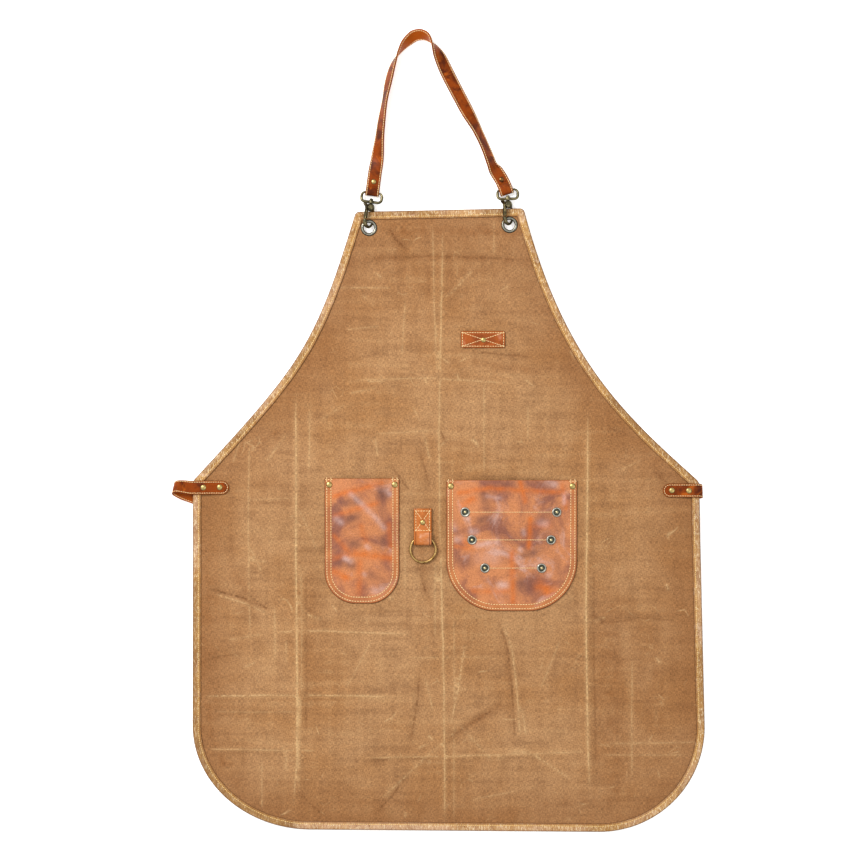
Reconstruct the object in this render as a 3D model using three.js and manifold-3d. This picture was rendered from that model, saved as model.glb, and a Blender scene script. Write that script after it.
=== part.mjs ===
// A waxed canvas work apron with leather binding, pockets and straps, lying on its back.
// Millimetres. X runs across the apron, Y up to its neck, Z up from the surface that it lies on.
// The origin is under the middle of the whole lying apron, neck strap included.

import * as THREE from 'three';
import { mergeVertices } from 'three/addons/utils/BufferGeometryUtils.js';
import Module from 'manifold-3d';

const wasm = await Module();
wasm.setup();

// Clearance between neighbouring pieces, and the thickness of each wall
const GAP = 0.3;
const CANVAS_T = 1.2;
const BINDING_T = 1.2;
const STRAP_T = 2.2;
const POCKET_T = 1.8;
const TAB_T = 1.8;

// Outline of the bound panel: its corners, and the curves between them
const BIB_LEFT = new THREE.Vector2(-115.5, 303);
const BIB_RIGHT = new THREE.Vector2(117.5, 308);
const WAIST_LEFT = new THREE.Vector2(-342, -71);
const WAIST_RIGHT = new THREE.Vector2(361.5, -72);
const ARM_LEFT = { topAngle: 17, topReach: 200, waistAngle: 42.6, waistReach: 220 };
const ARM_RIGHT = { topAngle: 15, topReach: 215, waistAngle: 48, waistReach: 150 };
const ARM_STEPS = 12;
const HEM_LEFT = { x: -177.5, y: -411, across: 165, up: 144.5 };
const HEM_RIGHT = { x: 223, y: -412.8, across: 146.5, up: 146 };
const HEM_STEPS = 6;

// Binding: a strip of leather folded round the edge of the canvas
const BINDING_W = 11.5;
const BINDING_NOSE = 1.2;
const BINDING_FOLD = 1.8;
const BINDING_GAP = 0.45;
const BINDING_H = 2 * (BINDING_T + BINDING_GAP) + CANVAS_T;
const BINDING_JOIN = 0.2;
const CANVAS_Z = BINDING_T + BINDING_GAP;
const CANVAS_INSET = BINDING_FOLD + 2 * GAP;

// How far the lying apron is held off the floor by the waist strap and the snap hooks beneath it
const LIFTS = [
  { y: -620, lift: 0 },
  { y: -160, lift: 0 },
  { y: -114, lift: 3 },
  { y: -60, lift: 3 },
  { y: -14, lift: 0 },
  { y: 200, lift: 0 },
  { y: 262, lift: 3.7 },
  { y: 360, lift: 3.7 },
];

// Fold lines in the canvas: the axis that each crosses, its place, its stretch, its height and half width
const FOLDS = [
  { across: 'x', at: -197, from: -540, to: 60, rise: 1.8, half: 14 },
  { across: 'x', at: 1.4, from: -545, to: 290, rise: 1.4, half: 8 },
  { across: 'x', at: 207, from: -540, to: 50, rise: 2.2, half: 14 },
  { across: 'y', at: -452, from: -340, to: 230, rise: 1.5, half: 14 },
  { across: 'y', at: -371, from: -340, to: 60, rise: 1.7, half: 14 },
  { across: 'y', at: -282, from: -340, to: 20, rise: 1.4, half: 14 },
  { across: 'y', at: 74, from: -210, to: 210, rise: 1.2, half: 14 },
  { across: 'y', at: 239, from: -120, to: 120, rise: -1.1, half: 13 },
];
const FOLD_FADE = { start: 44, end: 75 };
const GRID_STEP = 52;
const GRID_X = 385;
const GRID_Y = { low: -575, high: 330 };

// Grommets at the bib's top corners
const GROMMET = { bore: 7, barrel: 7.8, flange: 10.8, dome: 1.3, back: 10, backT: 0.5, sides: 16 };

// Snap hooks: the grommet that each is hooked in and how it leans in plan, then the neck strap's end on it:
// how far it has slid along the loop's bar, how it leaves the bar, and how much more it bends up to its tail
const SNAPS = [
  { side: 'left', x: -97.2, y: 280.6, lean: -7, slide: 0, pull: -7, bend: -1 },
  { side: 'right', x: 98, y: 284.9, lean: 1.5, slide: -2.5, pull: 18, bend: 18 },
];
const SNAP_TILT = 50;
const SNAP_Z = 7.8;
const SNAP_SHIFT = -1.4;
const WIRE_R = 1.5;
const HOOK = { radius: 7.8, middle: 9.3, tip: 2.5, bends: 8, sides: 6, steps: 15 };
const BODY_SIDES = 8;
const HOOK_SPINE = [{ x: 7.8, y: 17 }, { x: 7.6, y: 22.5 }, { x: 6, y: 26 }, { x: 3, y: 29 }];
const HOOK_BODY = [
  { r: 0, y: 24 }, { r: 4.2, y: 24 }, { r: 4.8, y: 26.5 }, { r: 4.3, y: 30 }, { r: 2.9, y: 33.4 },
  { r: 1.4, y: 33.5 }, { r: 1.4, y: 38.5 }, { r: 2.6, y: 38.6 }, { r: 2.6, y: 40.2 }, { r: 0, y: 41 },
];
const EAR = { x: -5.5, y: 28, radius: 2.7, half: 3.3, inner: -1 };
const SLOT = { half: 2, right: -2.9, left: -14, low: 20, high: 34 };
const PIN_R = 1;
const GATE = { eye: 2.2, half: 1.7, arm: 3, endGap: 0.7, shoulder: 21.5, eyeFrom: -0.5 };
const GATE_WING = [{ x: -7, y: 30.2 }, { x: -12.2, y: 33.6 }, { x: -13, y: 32.4 }, { x: -9, y: 28 }];
const LOOP = { width: 31.3, height: 16.4, corner: 4.8, wire: 1.6, middle: 42.5, barZ: 5.3, sides: 6 };
const LOOP_BOSS = { r: 3.3, low: 33.8, high: 38.2, bore: 1.75 };

// Neck strap: its run on the floor, and how far it rolls on to its outer edge
const STRAP_W = 19;
const NECK_ROWS = [
  { x: -85.5, y: 378, roll: 22 },
  { x: -82.7, y: 403, roll: 48 },
  { x: -79.5, y: 430, roll: 58 },
  { x: -75, y: 458, roll: 68 },
  { x: -69.5, y: 486, roll: 60 },
  { x: -62.5, y: 510, roll: 72 },
  { x: -54.5, y: 526, roll: 100 },
  { x: -43.5, y: 540, roll: 130 },
  { x: -29.5, y: 549, roll: 140 },
  { x: -17, y: 546, roll: 118 },
  { x: -8.5, y: 536, roll: 80 },
  { x: -1, y: 523, roll: 40 },
  { x: 9.7, y: 500, roll: 12 },
  { x: 23.6, y: 472.6, roll: 12 },
  { x: 38.2, y: 444.8, roll: 18 },
  { x: 53, y: 417, roll: 46 },
  { x: 65.4, y: 390, roll: 50 },
  { x: 73.6, y: 369, roll: 44 },
];
const NECK_PARTS = 2;
const NECK_RIVET = { along: 15.4, r: 3.5 };
const NECK_TAIL = 27;
const NECK_SLACK = 0.5;
const NECK_CLOSE = { start: 5, bulge: 0.8 };
const NECK_STEPS = 3;
const FOLD_STEPS = 6;

// Waist straps: each front run, its rivets, and the run behind the apron to the clasp.
// skew turns the strap's width from Y towards X, and roll raises its edge that is nearer the hem.
const WAIST_LEFT_TIP = { x: -291.6, y: -80 };
const WAIST_RIGHT_TIP = { x: 310.9, y: -84 };
const WAIST_STEP = { low: 20, high: 29.5, edge: 46 };
const TIP_SHARES = [0.04, 0.25, 0.6, 1];
const EDGE_TURN = { drop: 2, skew: 6 };
const WAIST_RIVETS = [
  { name: 'waist_rivet_left_outer', x: -327, y: -80, step: 'high' },
  { name: 'waist_rivet_left_inner', x: -304.5, y: -79.6, step: 'low' },
  { name: 'waist_rivet_right_outer', x: 347, y: -84.3, step: 'high' },
  { name: 'waist_rivet_right_inner', x: 323.4, y: -84, step: 'low' },
];
const WAIST_RIVET_R = 4.1;
const LEFT_LOOP = [
  { x: -345, y: -80, z: 9.2, skew: 0, roll: 2 },
  { x: -351, y: -79.4, z: 10.4, skew: 1, roll: 10 },
  { x: -358, y: -78.5, z: 12.2, skew: 4, roll: 22 },
  { x: -363, y: -78.3, z: 13, skew: 7, roll: 28 },
  { x: -366.6, y: -79.2, z: 12, skew: 9, roll: 31 },
  { x: -368, y: -80.9, z: 9.8, skew: 10, roll: 32 },
  { x: -367, y: -82.6, z: 7.6, skew: 12, roll: 30 },
  { x: -363.5, y: -84.6, z: 6.4, skew: 14, roll: 27 },
  { x: -357, y: -87.2, z: 4.2, skew: 17, roll: 16 },
  { x: -350, y: -89.8, z: 2.2, skew: 20, roll: 5 },
  { x: -343, y: -92.3, z: 1.1, skew: 18, roll: 0 },
  { x: -325, y: -97.6, z: 1.1, skew: 12, roll: 0 },
  { x: -300, y: -101, z: 1.1, skew: 4, roll: 0 },
  { x: -285, y: -101.6, z: 1.1, skew: 0, roll: 0 },
];
const RIGHT_BACK = [
  { x: 340, y: -88, z: 1.1, skew: -9, roll: 0 },
  { x: 315, y: -93.5, z: 1.1, skew: -12, roll: 0 },
  { x: 290, y: -99, z: 1.1, skew: -8, roll: 0 },
  { x: 275, y: -101, z: 1.1, skew: -2, roll: 0 },
];
const CLASP = { left: 200, right: 240, wall: 0.8, gap: 0.25, y: -101.6, width: 24, ramp: 22 };

// Patch pockets: outline, corner radius, and how far the mouth stands open
const POCKETS = [
  { name: 'pocket_small', left: -158.7, right: -55.2, top: -67.3, bottom: -241, corner: 44, crown: 7 },
  { name: 'pocket_large', left: 10.2, right: 191.8, top: -69.5, bottom: -251.3, corner: 70, crown: 7.5 },
];
const POCKET_FLANGE = 12;
const POCKET_SHOULDER = 0.4;
const POCKET_STEP = 32;
const POCKET_ARC = [0, 22.5, 45, 67.5, 90];
const POCKET_RIVET = { inset: 6.3, drop: 8.6, r: 3.8 };

// Studs on the large pocket, in three rows that draw in towards the bottom
const STUD_ROWS = [
  { y: -114, left: 36.4, right: 163.3 },
  { y: -152.6, left: 45.9, right: 155.5 },
  { y: -191.8, left: 63.7, right: 142.5 },
];
const STUD_SHANK = 2.3;
const STUD_SIDES = 8;
const STUD_SEAT = 0.4;
const STUD_DRILL = 8;
const STUD_PROFILE = [
  { r: 0, z: -1.5 }, { r: STUD_SHANK, z: -1.5 }, { r: STUD_SHANK, z: STUD_SEAT }, { r: 6.7, z: STUD_SEAT },
  { r: 6.3, z: 1.5 }, { r: 4.4, z: 1.5 }, { r: 3.9, z: 0.9 }, { r: 2, z: 0.9 }, { r: 1.7, z: 2.3 },
  { r: 0, z: 2.6 },
];

// Folded tab with its ring, and the flat tab on the bib
const RING_TAB = { x: -22.6, width: 25, top: -109, seam: -140, mouth: -146.5, bend: -156.2, rivetY: -128.4 };
const RING = { radius: 17.5, wire: 2, x: -22.2, y: -166.1, sides: 6, steps: 26 };
const CHEST_TAB = { left: 30.4, right: 92, bottom: 114.2, top: 137.4, corner: 2.5, rivetX: 61.9, rivetY: 125 };
const TAB_RIVET_R = 3.7;

// Rivets: a domed head, a shank through the layers and a washer behind
const RIVET = { shank: 1.4, dome: 1.7, rim: 0.5, washer: 3, washerT: 0.7, clear: 0.4, sides: 8 };
const BORE_SIDES = 8;
const CUT_DEPTH = 80;

// Finishes
const finish = (color, roughness, metalness) =>
  new THREE.MeshStandardMaterial({ color, roughness, metalness });
const CANVAS = finish('#a9794c', 0.75, 0);
const BINDING_LEATHER = finish('#b9803f', 0.6, 0);
const POCKET_LEATHER = finish('#9c5f38', 0.55, 0);
const STRAP_LEATHER = finish('#8a4a28', 0.55, 0);
const ANTIQUE_BRASS = finish('#8d7a50', 0.4, 1);
const NICKEL = finish('#a8a290', 0.35, 1);

const apron = new THREE.Group();

// A named piece of the apron, or of a group inside it
function piece(name, geometry, material, parent = apron) {
  const mesh = new THREE.Mesh(geometry, material);
  mesh.name = name;
  parent.add(mesh);
  return mesh;
}

const radians = THREE.MathUtils.degToRad;

// Value of a table's column at y, on straight lines between the rows
function lift(y) {
  const next = LIFTS.findIndex((row) => row.y >= y);
  const a = LIFTS[next - 1];
  const b = LIFTS[next];
  return THREE.MathUtils.mapLinear(y, a.y, b.y, a.lift, b.lift);
}

// A point at height z over the surface, carried up with the apron
const onApron = (x, y, z) => new THREE.Vector3(x, y, z + lift(y));
const canvasTop = (y) => CANVAS_Z + CANVAS_T + lift(y);
const slope = (y) => (lift(y + 1) - lift(y - 1)) / 2;

// Merged closed geometry whose faces point outwards
function closed(geometry) {
  const bare = new THREE.BufferGeometry();
  bare.setAttribute('position', geometry.getAttribute('position'));
  bare.setIndex(geometry.getIndex());
  const merged = mergeVertices(bare, 1e-4);
  const index = merged.getIndex().array;
  const [a, b, c] = [new THREE.Vector3(), new THREE.Vector3(), new THREE.Vector3()];
  const position = merged.getAttribute('position');
  let volume = 0;
  for (let i = 0; i < index.length; i += 3) {
    a.fromBufferAttribute(position, index[i]);
    b.fromBufferAttribute(position, index[i + 1]);
    c.fromBufferAttribute(position, index[i + 2]);
    volume += a.dot(b.cross(c));
  }
  if (volume < 0) {
    index.reverse();
  }
  merged.computeVertexNormals();
  return merged;
}

function fromPoints(points, index) {
  const geometry = new THREE.BufferGeometry().setFromPoints(points);
  geometry.setIndex(index);
  return closed(geometry);
}

// Joining and cutting of closed bodies
function solid(geometry) {
  const merged = closed(geometry);
  return new wasm.Manifold(new wasm.Mesh({
    numProp: 3,
    vertProperties: Float32Array.from(merged.getAttribute('position').array),
    triVerts: Uint32Array.from(merged.getIndex().array),
  }));
}

function geometryOf(manifold) {
  const mesh = manifold.getMesh();
  const geometry = new THREE.BufferGeometry();
  geometry.setAttribute('position', new THREE.BufferAttribute(mesh.vertProperties, 3));
  geometry.setIndex(new THREE.BufferAttribute(mesh.triVerts, 1));
  geometry.computeVertexNormals();
  return geometry;
}

// The body through a row of matching loops, capped at both ends
function loft(loops, profile) {
  const count = profile.length;
  const clockwise = THREE.ShapeUtils.isClockWise(profile);
  const faces = THREE.ShapeUtils.triangulateShape(profile, []);
  const caps = clockwise ? faces.map((face) => [...face].reverse()) : faces;
  const last = (loops.length - 1) * count;
  const index = [];
  for (let i = 0; i < last; i += count) {
    for (let j = 0; j < count; j += 1) {
      const k = (j + 1) % count;
      index.push(i + j, i + k, i + j + count, i + k, i + k + count, i + j + count);
    }
  }
  for (const [a, b, c] of caps) {
    index.push(c, b, a, last + a, last + b, last + c);
  }
  return fromPoints(loops.flat(), index);
}

// A wall of even thickness under a grid of points, rows of equal length
function wall(rows, thickness) {
  const width = rows[0].length;
  const top = rows.flat();
  const base = top.length;
  const under = top.map((p) => new THREE.Vector3(p.x, p.y, p.z - thickness));
  const at = (i, j) => i * width + j;
  const index = [];
  const rim = (a, b) => index.push(a, a + base, b, b, a + base, b + base);
  for (let i = 0; i + 1 < rows.length; i += 1) {
    for (let j = 0; j + 1 < width; j += 1) {
      const [a, b, c, d] = [at(i, j), at(i, j + 1), at(i + 1, j + 1), at(i + 1, j)];
      index.push(a, b, c, a, c, d);
      index.push(base + c, base + b, base + a, base + d, base + c, base + a);
    }
  }
  for (let j = 0; j + 1 < width; j += 1) {
    rim(at(0, j), at(0, j + 1));
    rim(at(rows.length - 1, j + 1), at(rows.length - 1, j));
  }
  for (let i = 0; i + 1 < rows.length; i += 1) {
    rim(at(i + 1, 0), at(i, 0));
    rim(at(i, width - 1), at(i + 1, width - 1));
  }
  return fromPoints([...top, ...under], index);
}

// A round body about Z, from a profile that starts and ends on the axis or closes on itself
function turned(profile, sides) {
  const points = profile.map(({ r, z }) => new THREE.Vector2(r, z));
  return closed(new THREE.LatheGeometry(points, sides).rotateX(Math.PI / 2));
}

// A round rod along a curve
function rod(curve, radius, sides, steps) {
  const section = new THREE.Shape().absarc(0, 0, radius, 0, 2 * Math.PI);
  const options = { steps, curveSegments: sides, extrudePath: curve, bevelEnabled: false };
  return new THREE.ExtrudeGeometry(section, options);
}

// A flat strap: each row has its middle, the direction of its width, and half its width there
function ribbon(rows, thickness) {
  const profile = [[-1, -1], [1, -1], [1, 1], [-1, 1]].map(([u, v]) => new THREE.Vector2(u, v));
  const loops = rows.map(({ middle, width, half }, i) => {
    const before = rows[Math.max(i - 1, 0)].middle;
    const after = rows[Math.min(i + 1, rows.length - 1)].middle;
    const along = after.clone().sub(before).normalize();
    const normal = along.clone().cross(width).normalize();
    return profile.map(({ x, y }) => middle.clone()
      .addScaledVector(width, x * half)
      .addScaledVector(normal, y * thickness / 2));
  });
  return loft(loops, profile);
}

// Lines at all the fixed places, with evenly spaced ones between them
function gridLines(fixed, step) {
  const places = [...new Set(fixed)].sort((a, b) => a - b);
  const lines = [places[0]];
  for (let i = 1; i < places.length; i += 1) {
    const parts = Math.ceil((places[i] - places[i - 1]) / step);
    for (let k = 1; k <= parts; k += 1) {
      lines.push(THREE.MathUtils.lerp(places[i - 1], places[i], k / parts));
    }
  }
  return lines;
}

// An upright round hole through everything at x, y
function bored(manifold, holes) {
  return holes.reduce((rest, { x, y, r, sides = BORE_SIDES }) => {
    const drill = new THREE.CylinderGeometry(r, r, CUT_DEPTH, sides).rotateX(Math.PI / 2).translate(x, y, 0);
    return rest.subtract(solid(drill));
  }, manifold);
}

// The outline, clockwise from the bib's left corner, as the four strips of binding
function armCurve(top, waist, side, { topAngle, topReach, waistAngle, waistReach }) {
  const down = new THREE.Vector2(side * Math.sin(radians(topAngle)), -Math.cos(radians(topAngle)));
  const up = new THREE.Vector2(-side * Math.sin(radians(waistAngle)), Math.cos(radians(waistAngle)));
  return new THREE.CubicBezierCurve(
    top,
    top.clone().addScaledVector(down, topReach),
    waist.clone().addScaledVector(up, waistReach),
    waist,
  ).getPoints(ARM_STEPS);
}

function skirtPoints() {
  const path = new THREE.Path().moveTo(WAIST_RIGHT.x, WAIST_RIGHT.y);
  const corner = ({ x, y, across, up }, from) =>
    path.absellipse(x, y, across, up, from, from - Math.PI / 2, true);
  path.lineTo(HEM_RIGHT.x + HEM_RIGHT.across, HEM_RIGHT.y);
  corner(HEM_RIGHT, 0);
  path.lineTo(HEM_LEFT.x, HEM_LEFT.y - HEM_LEFT.up);
  corner(HEM_LEFT, -Math.PI / 2);
  path.lineTo(WAIST_LEFT.x, WAIST_LEFT.y);
  return path.getPoints(HEM_STEPS);
}

// The same points with one more wherever the lift bends
function bentAtLifts(points) {
  const out = [points[0]];
  for (let i = 1; i < points.length; i += 1) {
    const [a, b] = [points[i - 1], points[i]];
    const shares = LIFTS.map(({ y }) => (y - a.y) / (b.y - a.y)).filter((t) => t > 0.02 && t < 0.98);
    shares.sort((p, q) => p - q);
    out.push(...shares.map((t) => a.clone().lerp(b, t)), b);
  }
  return out;
}

const STRIPS = [
  { name: 'binding_top', points: [BIB_LEFT, BIB_RIGHT] },
  { name: 'binding_arm_right', points: armCurve(BIB_RIGHT, WAIST_RIGHT, 1, ARM_RIGHT) },
  { name: 'binding_skirt', points: skirtPoints() },
  { name: 'binding_arm_left', points: armCurve(BIB_LEFT, WAIST_LEFT, -1, ARM_LEFT).reverse() },
];
const outline = [];
for (const strip of STRIPS) {
  strip.start = outline.length;
  outline.push(...bentAtLifts(strip.points).slice(0, -1));
  strip.end = outline.length;
}

// The way in from each point of the outline, longer at a corner so that the edge stays parallel
const rightOf = (a, b) => new THREE.Vector2(b.y - a.y, a.x - b.x).normalize();
const inward = outline.map((p, i) => {
  const before = rightOf(outline.at(i - 1), p);
  const after = rightOf(p, outline[(i + 1) % outline.length]);
  const middle = before.clone().add(after).normalize();
  return middle.divideScalar(middle.dot(after));
});

function bindingStrip({ start, end }) {
  const sides = [
    [BINDING_NOSE, 0], [0, BINDING_NOSE], [0, BINDING_H - BINDING_NOSE], [BINDING_NOSE, BINDING_H],
    [BINDING_W, BINDING_H], [BINDING_W, BINDING_H - BINDING_T], [BINDING_FOLD, BINDING_H - BINDING_T],
    [BINDING_FOLD, BINDING_T], [BINDING_W, BINDING_T], [BINDING_W, 0],
  ];
  const profile = sides.map(([d, z]) => new THREE.Vector2(d, z));
  const loops = [];
  for (let i = start; i <= end; i += 1) {
    const here = outline[i % outline.length].clone();
    const way = inward[i % outline.length];
    const next = outline[(i + 1) % outline.length].clone().sub(here).normalize();
    const back = outline.at((i - 1) % outline.length).clone().sub(here).normalize();
    if (i === start) {
      here.addScaledVector(next, BINDING_JOIN);
    }
    if (i === end) {
      here.addScaledVector(back, BINDING_JOIN);
    }
    loops.push(profile.map(({ x, y }) => onApron(here.x + way.x * x, here.y + way.y * x, y)));
  }
  return loft(loops, profile);
}

for (const strip of STRIPS) {
  piece(strip.name, bindingStrip(strip), BINDING_LEATHER);
}

// Canvas panel: a wall over a grid whose lines follow the folds, cut to the outline
function insideBy(x, y) {
  const here = new THREE.Vector2(x, y);
  let nearest = Infinity;
  for (let i = 0; i < outline.length; i += 1) {
    const a = outline[i];
    const run = outline[(i + 1) % outline.length].clone().sub(a);
    const share = THREE.MathUtils.clamp(here.clone().sub(a).dot(run) / run.lengthSq(), 0, 1);
    nearest = Math.min(nearest, here.distanceTo(a.clone().addScaledVector(run, share)));
  }
  return nearest;
}

function foldHeight(x, y) {
  const fade = THREE.MathUtils.smoothstep(insideBy(x, y), FOLD_FADE.start, FOLD_FADE.end);
  return fade * FOLDS.reduce((height, { across, at, from, to, rise, half }) => {
    const [off, place] = across === 'x' ? [x - at, y] : [y - at, x];
    const beside = Math.max(0, 1 - Math.abs(off) / half);
    return height + (place > from && place < to ? rise * beside : 0);
  }, 0);
}

function canvasPanel(holes) {
  const linesFor = (axis) => FOLDS.filter(({ across }) => across === axis)
    .flatMap(({ at, half }) => [at - half, at, at + half]);
  const columns = gridLines([-GRID_X, ...linesFor('x'), GRID_X], GRID_STEP);
  const bends = LIFTS.map(({ y }) => y).filter((y) => y > GRID_Y.low && y < GRID_Y.high);
  const lines = gridLines([GRID_Y.low, ...bends, ...linesFor('y'), GRID_Y.high], GRID_STEP);
  const rows = lines.map((y) => columns.map((x) =>
    onApron(x, y, CANVAS_Z + CANVAS_T + foldHeight(x, y))));
  const edge = outline.map((p, i) => p.clone().addScaledVector(inward[i], CANVAS_INSET));
  const blade = new THREE.ExtrudeGeometry(new THREE.Shape(edge), { depth: CUT_DEPTH, bevelEnabled: false });
  blade.translate(0, 0, -CUT_DEPTH / 2);
  const panel = solid(wall(rows, CANVAS_T)).intersect(solid(blade));
  return geometryOf(bored(panel, holes));
}

// Rivets, seated on z with their washer under the layers that they hold
function rivet(name, { x, y, r }, seat, under) {
  const grip = seat - under + GAP;
  const { shank, dome, rim, washer, washerT, sides } = RIVET;
  const profile = [
    { r: 0, z: -grip - washerT }, { r: washer, z: -grip - washerT }, { r: washer, z: -grip },
    { r: shank, z: -grip }, { r: shank, z: GAP }, { r, z: GAP }, { r, z: GAP + rim },
    { r: 0.7 * r, z: GAP + 0.8 * dome }, { r: 0, z: GAP + dome },
  ];
  const mesh = piece(name, turned(profile, sides), ANTIQUE_BRASS);
  mesh.position.set(x, y, seat);
  mesh.rotation.x = Math.atan(slope(y));
}

const rivetHole = ({ x, y }) => ({ x, y, r: RIVET.shank + RIVET.clear });
const canvasHoles = SNAPS.map(({ x, y }) => ({ x, y, r: GROMMET.barrel + GAP, sides: GROMMET.sides }));

function holdWithRivet(name, place, seat) {
  const lean = slope(place.y) * (seat - canvasTop(place.y));
  rivet(name, place, seat, CANVAS_Z + lift(place.y));
  canvasHoles.push(rivetHole({ x: place.x, y: place.y + lean }));
}

// Grommets
for (const { side, x, y } of SNAPS) {
  const { bore, barrel, flange, dome, back, backT, sides } = GROMMET;
  const front = CANVAS_T / 2 + GAP;
  const profile = [
    { r: bore, z: -front - backT }, { r: back, z: -front - backT }, { r: back, z: -front },
    { r: barrel, z: -front }, { r: barrel, z: front }, { r: flange, z: front },
    { r: flange - 0.4, z: front + dome / 2 }, { r: (flange + bore) / 2, z: front + dome },
    { r: bore + 0.4, z: front + dome / 2 }, { r: bore, z: -front - backT },
  ];
  const mesh = piece(`grommet_${side}`, turned(profile, sides), NICKEL);
  mesh.position.set(x, y, canvasTop(y) - CANVAS_T / 2);
}

// Snap hooks. Along each one, y runs from the grommet up through the hook and its loop.
const BAR_Y = LOOP.middle + LOOP.height / 2 - LOOP.wire;
const HUB_Y = LOOP.middle - LOOP.height / 2 + LOOP.wire;

function snapHook() {
  const { radius, middle, tip, bends, sides, steps } = HOOK;
  const bend = Array.from({ length: bends + 1 }, (_, i) => {
    const turn = Math.PI + i * Math.PI / bends;
    return new THREE.Vector3(radius * Math.cos(turn), middle + radius * Math.sin(turn), 0);
  });
  const spine = HOOK_SPINE.map(({ x, y }) => new THREE.Vector3(x, y, 0));
  const line = [new THREE.Vector3(-radius, middle + tip, 0), ...bend, ...spine];
  const wire = rod(new THREE.CatmullRomCurve3(line), WIRE_R, sides, steps);
  const body = new THREE.LatheGeometry(HOOK_BODY.map(({ r, y }) => new THREE.Vector2(r, y)), BODY_SIDES);
  const ear = new THREE.Shape().moveTo(EAR.inner, EAR.y - EAR.radius);
  ear.lineTo(EAR.inner, EAR.y + EAR.radius).lineTo(EAR.x, EAR.y + EAR.radius);
  ear.absarc(EAR.x, EAR.y, EAR.radius, Math.PI / 2, 1.5 * Math.PI);
  const ears = new THREE.ExtrudeGeometry(ear, { depth: 2 * EAR.half, curveSegments: 4, bevelEnabled: false });
  ears.translate(0, 0, -EAR.half);
  const slot = new THREE.BoxGeometry(SLOT.right - SLOT.left, SLOT.high - SLOT.low, 2 * SLOT.half);
  slot.translate((SLOT.left + SLOT.right) / 2, (SLOT.low + SLOT.high) / 2, 0);
  const pin = new THREE.CylinderGeometry(PIN_R, PIN_R, 2 * EAR.half, BODY_SIDES).rotateX(Math.PI / 2);
  pin.translate(EAR.x, EAR.y, 0);
  const forging = solid(body).add(solid(ears)).subtract(solid(slot));
  return geometryOf(forging.add(solid(pin)).add(solid(wire)));
}

function snapGate() {
  const left = -HOOK.radius - GATE.arm / 2;
  const end = HOOK.middle + HOOK.tip + GATE.endGap;
  const lever = new THREE.Shape().moveTo(left, end).lineTo(left + GATE.arm, end);
  lever.lineTo(left + GATE.arm, GATE.shoulder);
  lever.absarc(EAR.x, EAR.y, GATE.eye, GATE.eyeFrom, 0.5 * Math.PI);
  for (const { x, y } of GATE_WING) {
    lever.lineTo(x, y);
  }
  lever.closePath();
  lever.holes.push(new THREE.Path().absarc(EAR.x, EAR.y, PIN_R + GAP, 0, 2 * Math.PI));
  const options = { depth: 2 * GATE.half, curveSegments: 4, bevelEnabled: false };
  return closed(new THREE.ExtrudeGeometry(lever, options).translate(0, 0, -GATE.half));
}

function snapLoop() {
  const pitch = Math.atan2(SNAP_Z - LOOP.barZ, BAR_Y - HUB_Y);
  const stretch = 1 / Math.cos(pitch);
  const [w, h] = [LOOP.width / 2 - LOOP.wire, (LOOP.height / 2 - LOOP.wire) * stretch];
  const corners = [[1, 1, 0], [-1, 1, 1], [-1, -1, 2], [1, -1, 3]];
  const line = corners.flatMap(([sx, sy, quarter]) => [0, 1, 2, 3].map((k) => {
    const turn = (quarter + k / 3) * Math.PI / 2;
    const [x, y] = [sx * (w - LOOP.corner), sy * (h - LOOP.corner)];
    return new THREE.Vector3(x + LOOP.corner * Math.cos(turn), y + LOOP.corner * Math.sin(turn), 0);
  }));
  const section = Array.from({ length: LOOP.sides }, (_, i) => 2 * Math.PI * i / LOOP.sides);
  const points = line.flatMap((p, i) => {
    const run = line[(i + 1) % line.length].clone().sub(line.at(i - 1)).normalize();
    const out = new THREE.Vector3(run.y, -run.x, 0);
    return section.map((turn) => p.clone()
      .addScaledVector(out, LOOP.wire * Math.cos(turn))
      .add(new THREE.Vector3(0, 0, LOOP.wire * Math.sin(turn))));
  });
  const index = [];
  line.forEach((_, i) => section.forEach((__, j) => {
    const [a, b] = [i, (i + 1) % line.length].map((k) => k * LOOP.sides);
    const k = (j + 1) % LOOP.sides;
    index.push(a + j, b + j, a + k, a + k, b + j, b + k);
  }));
  const loop = fromPoints(points, index).rotateX(-pitch);
  loop.translate(0, LOOP.middle, (LOOP.barZ - SNAP_Z) / 2);
  const { r, low, high, bore } = LOOP_BOSS;
  const boss = new THREE.CylinderGeometry(r, r, high - low, BODY_SIDES).translate(0, (low + high) / 2, 0);
  const drill = new THREE.CylinderGeometry(bore, bore, 2 * high, BODY_SIDES);
  return geometryOf(solid(loop).add(solid(boss)).subtract(solid(drill)));
}

for (const { side, x, y, lean } of SNAPS) {
  const snap = new THREE.Group();
  snap.position.set(x, y, SNAP_Z);
  snap.rotation.z = radians(lean);
  const hanging = new THREE.Group();
  hanging.position.x = SNAP_SHIFT;
  const hook = new THREE.Group();
  hook.rotation.y = radians(SNAP_TILT);
  snap.add(hanging);
  hanging.add(hook);
  apron.add(snap);
  piece(`snap_loop_${side}`, snapLoop(), ANTIQUE_BRASS, hanging);
  piece(`snap_hook_${side}`, snapHook(), ANTIQUE_BRASS, hook);
  piece(`snap_gate_${side}`, snapGate(), ANTIQUE_BRASS, hook);
}

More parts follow.
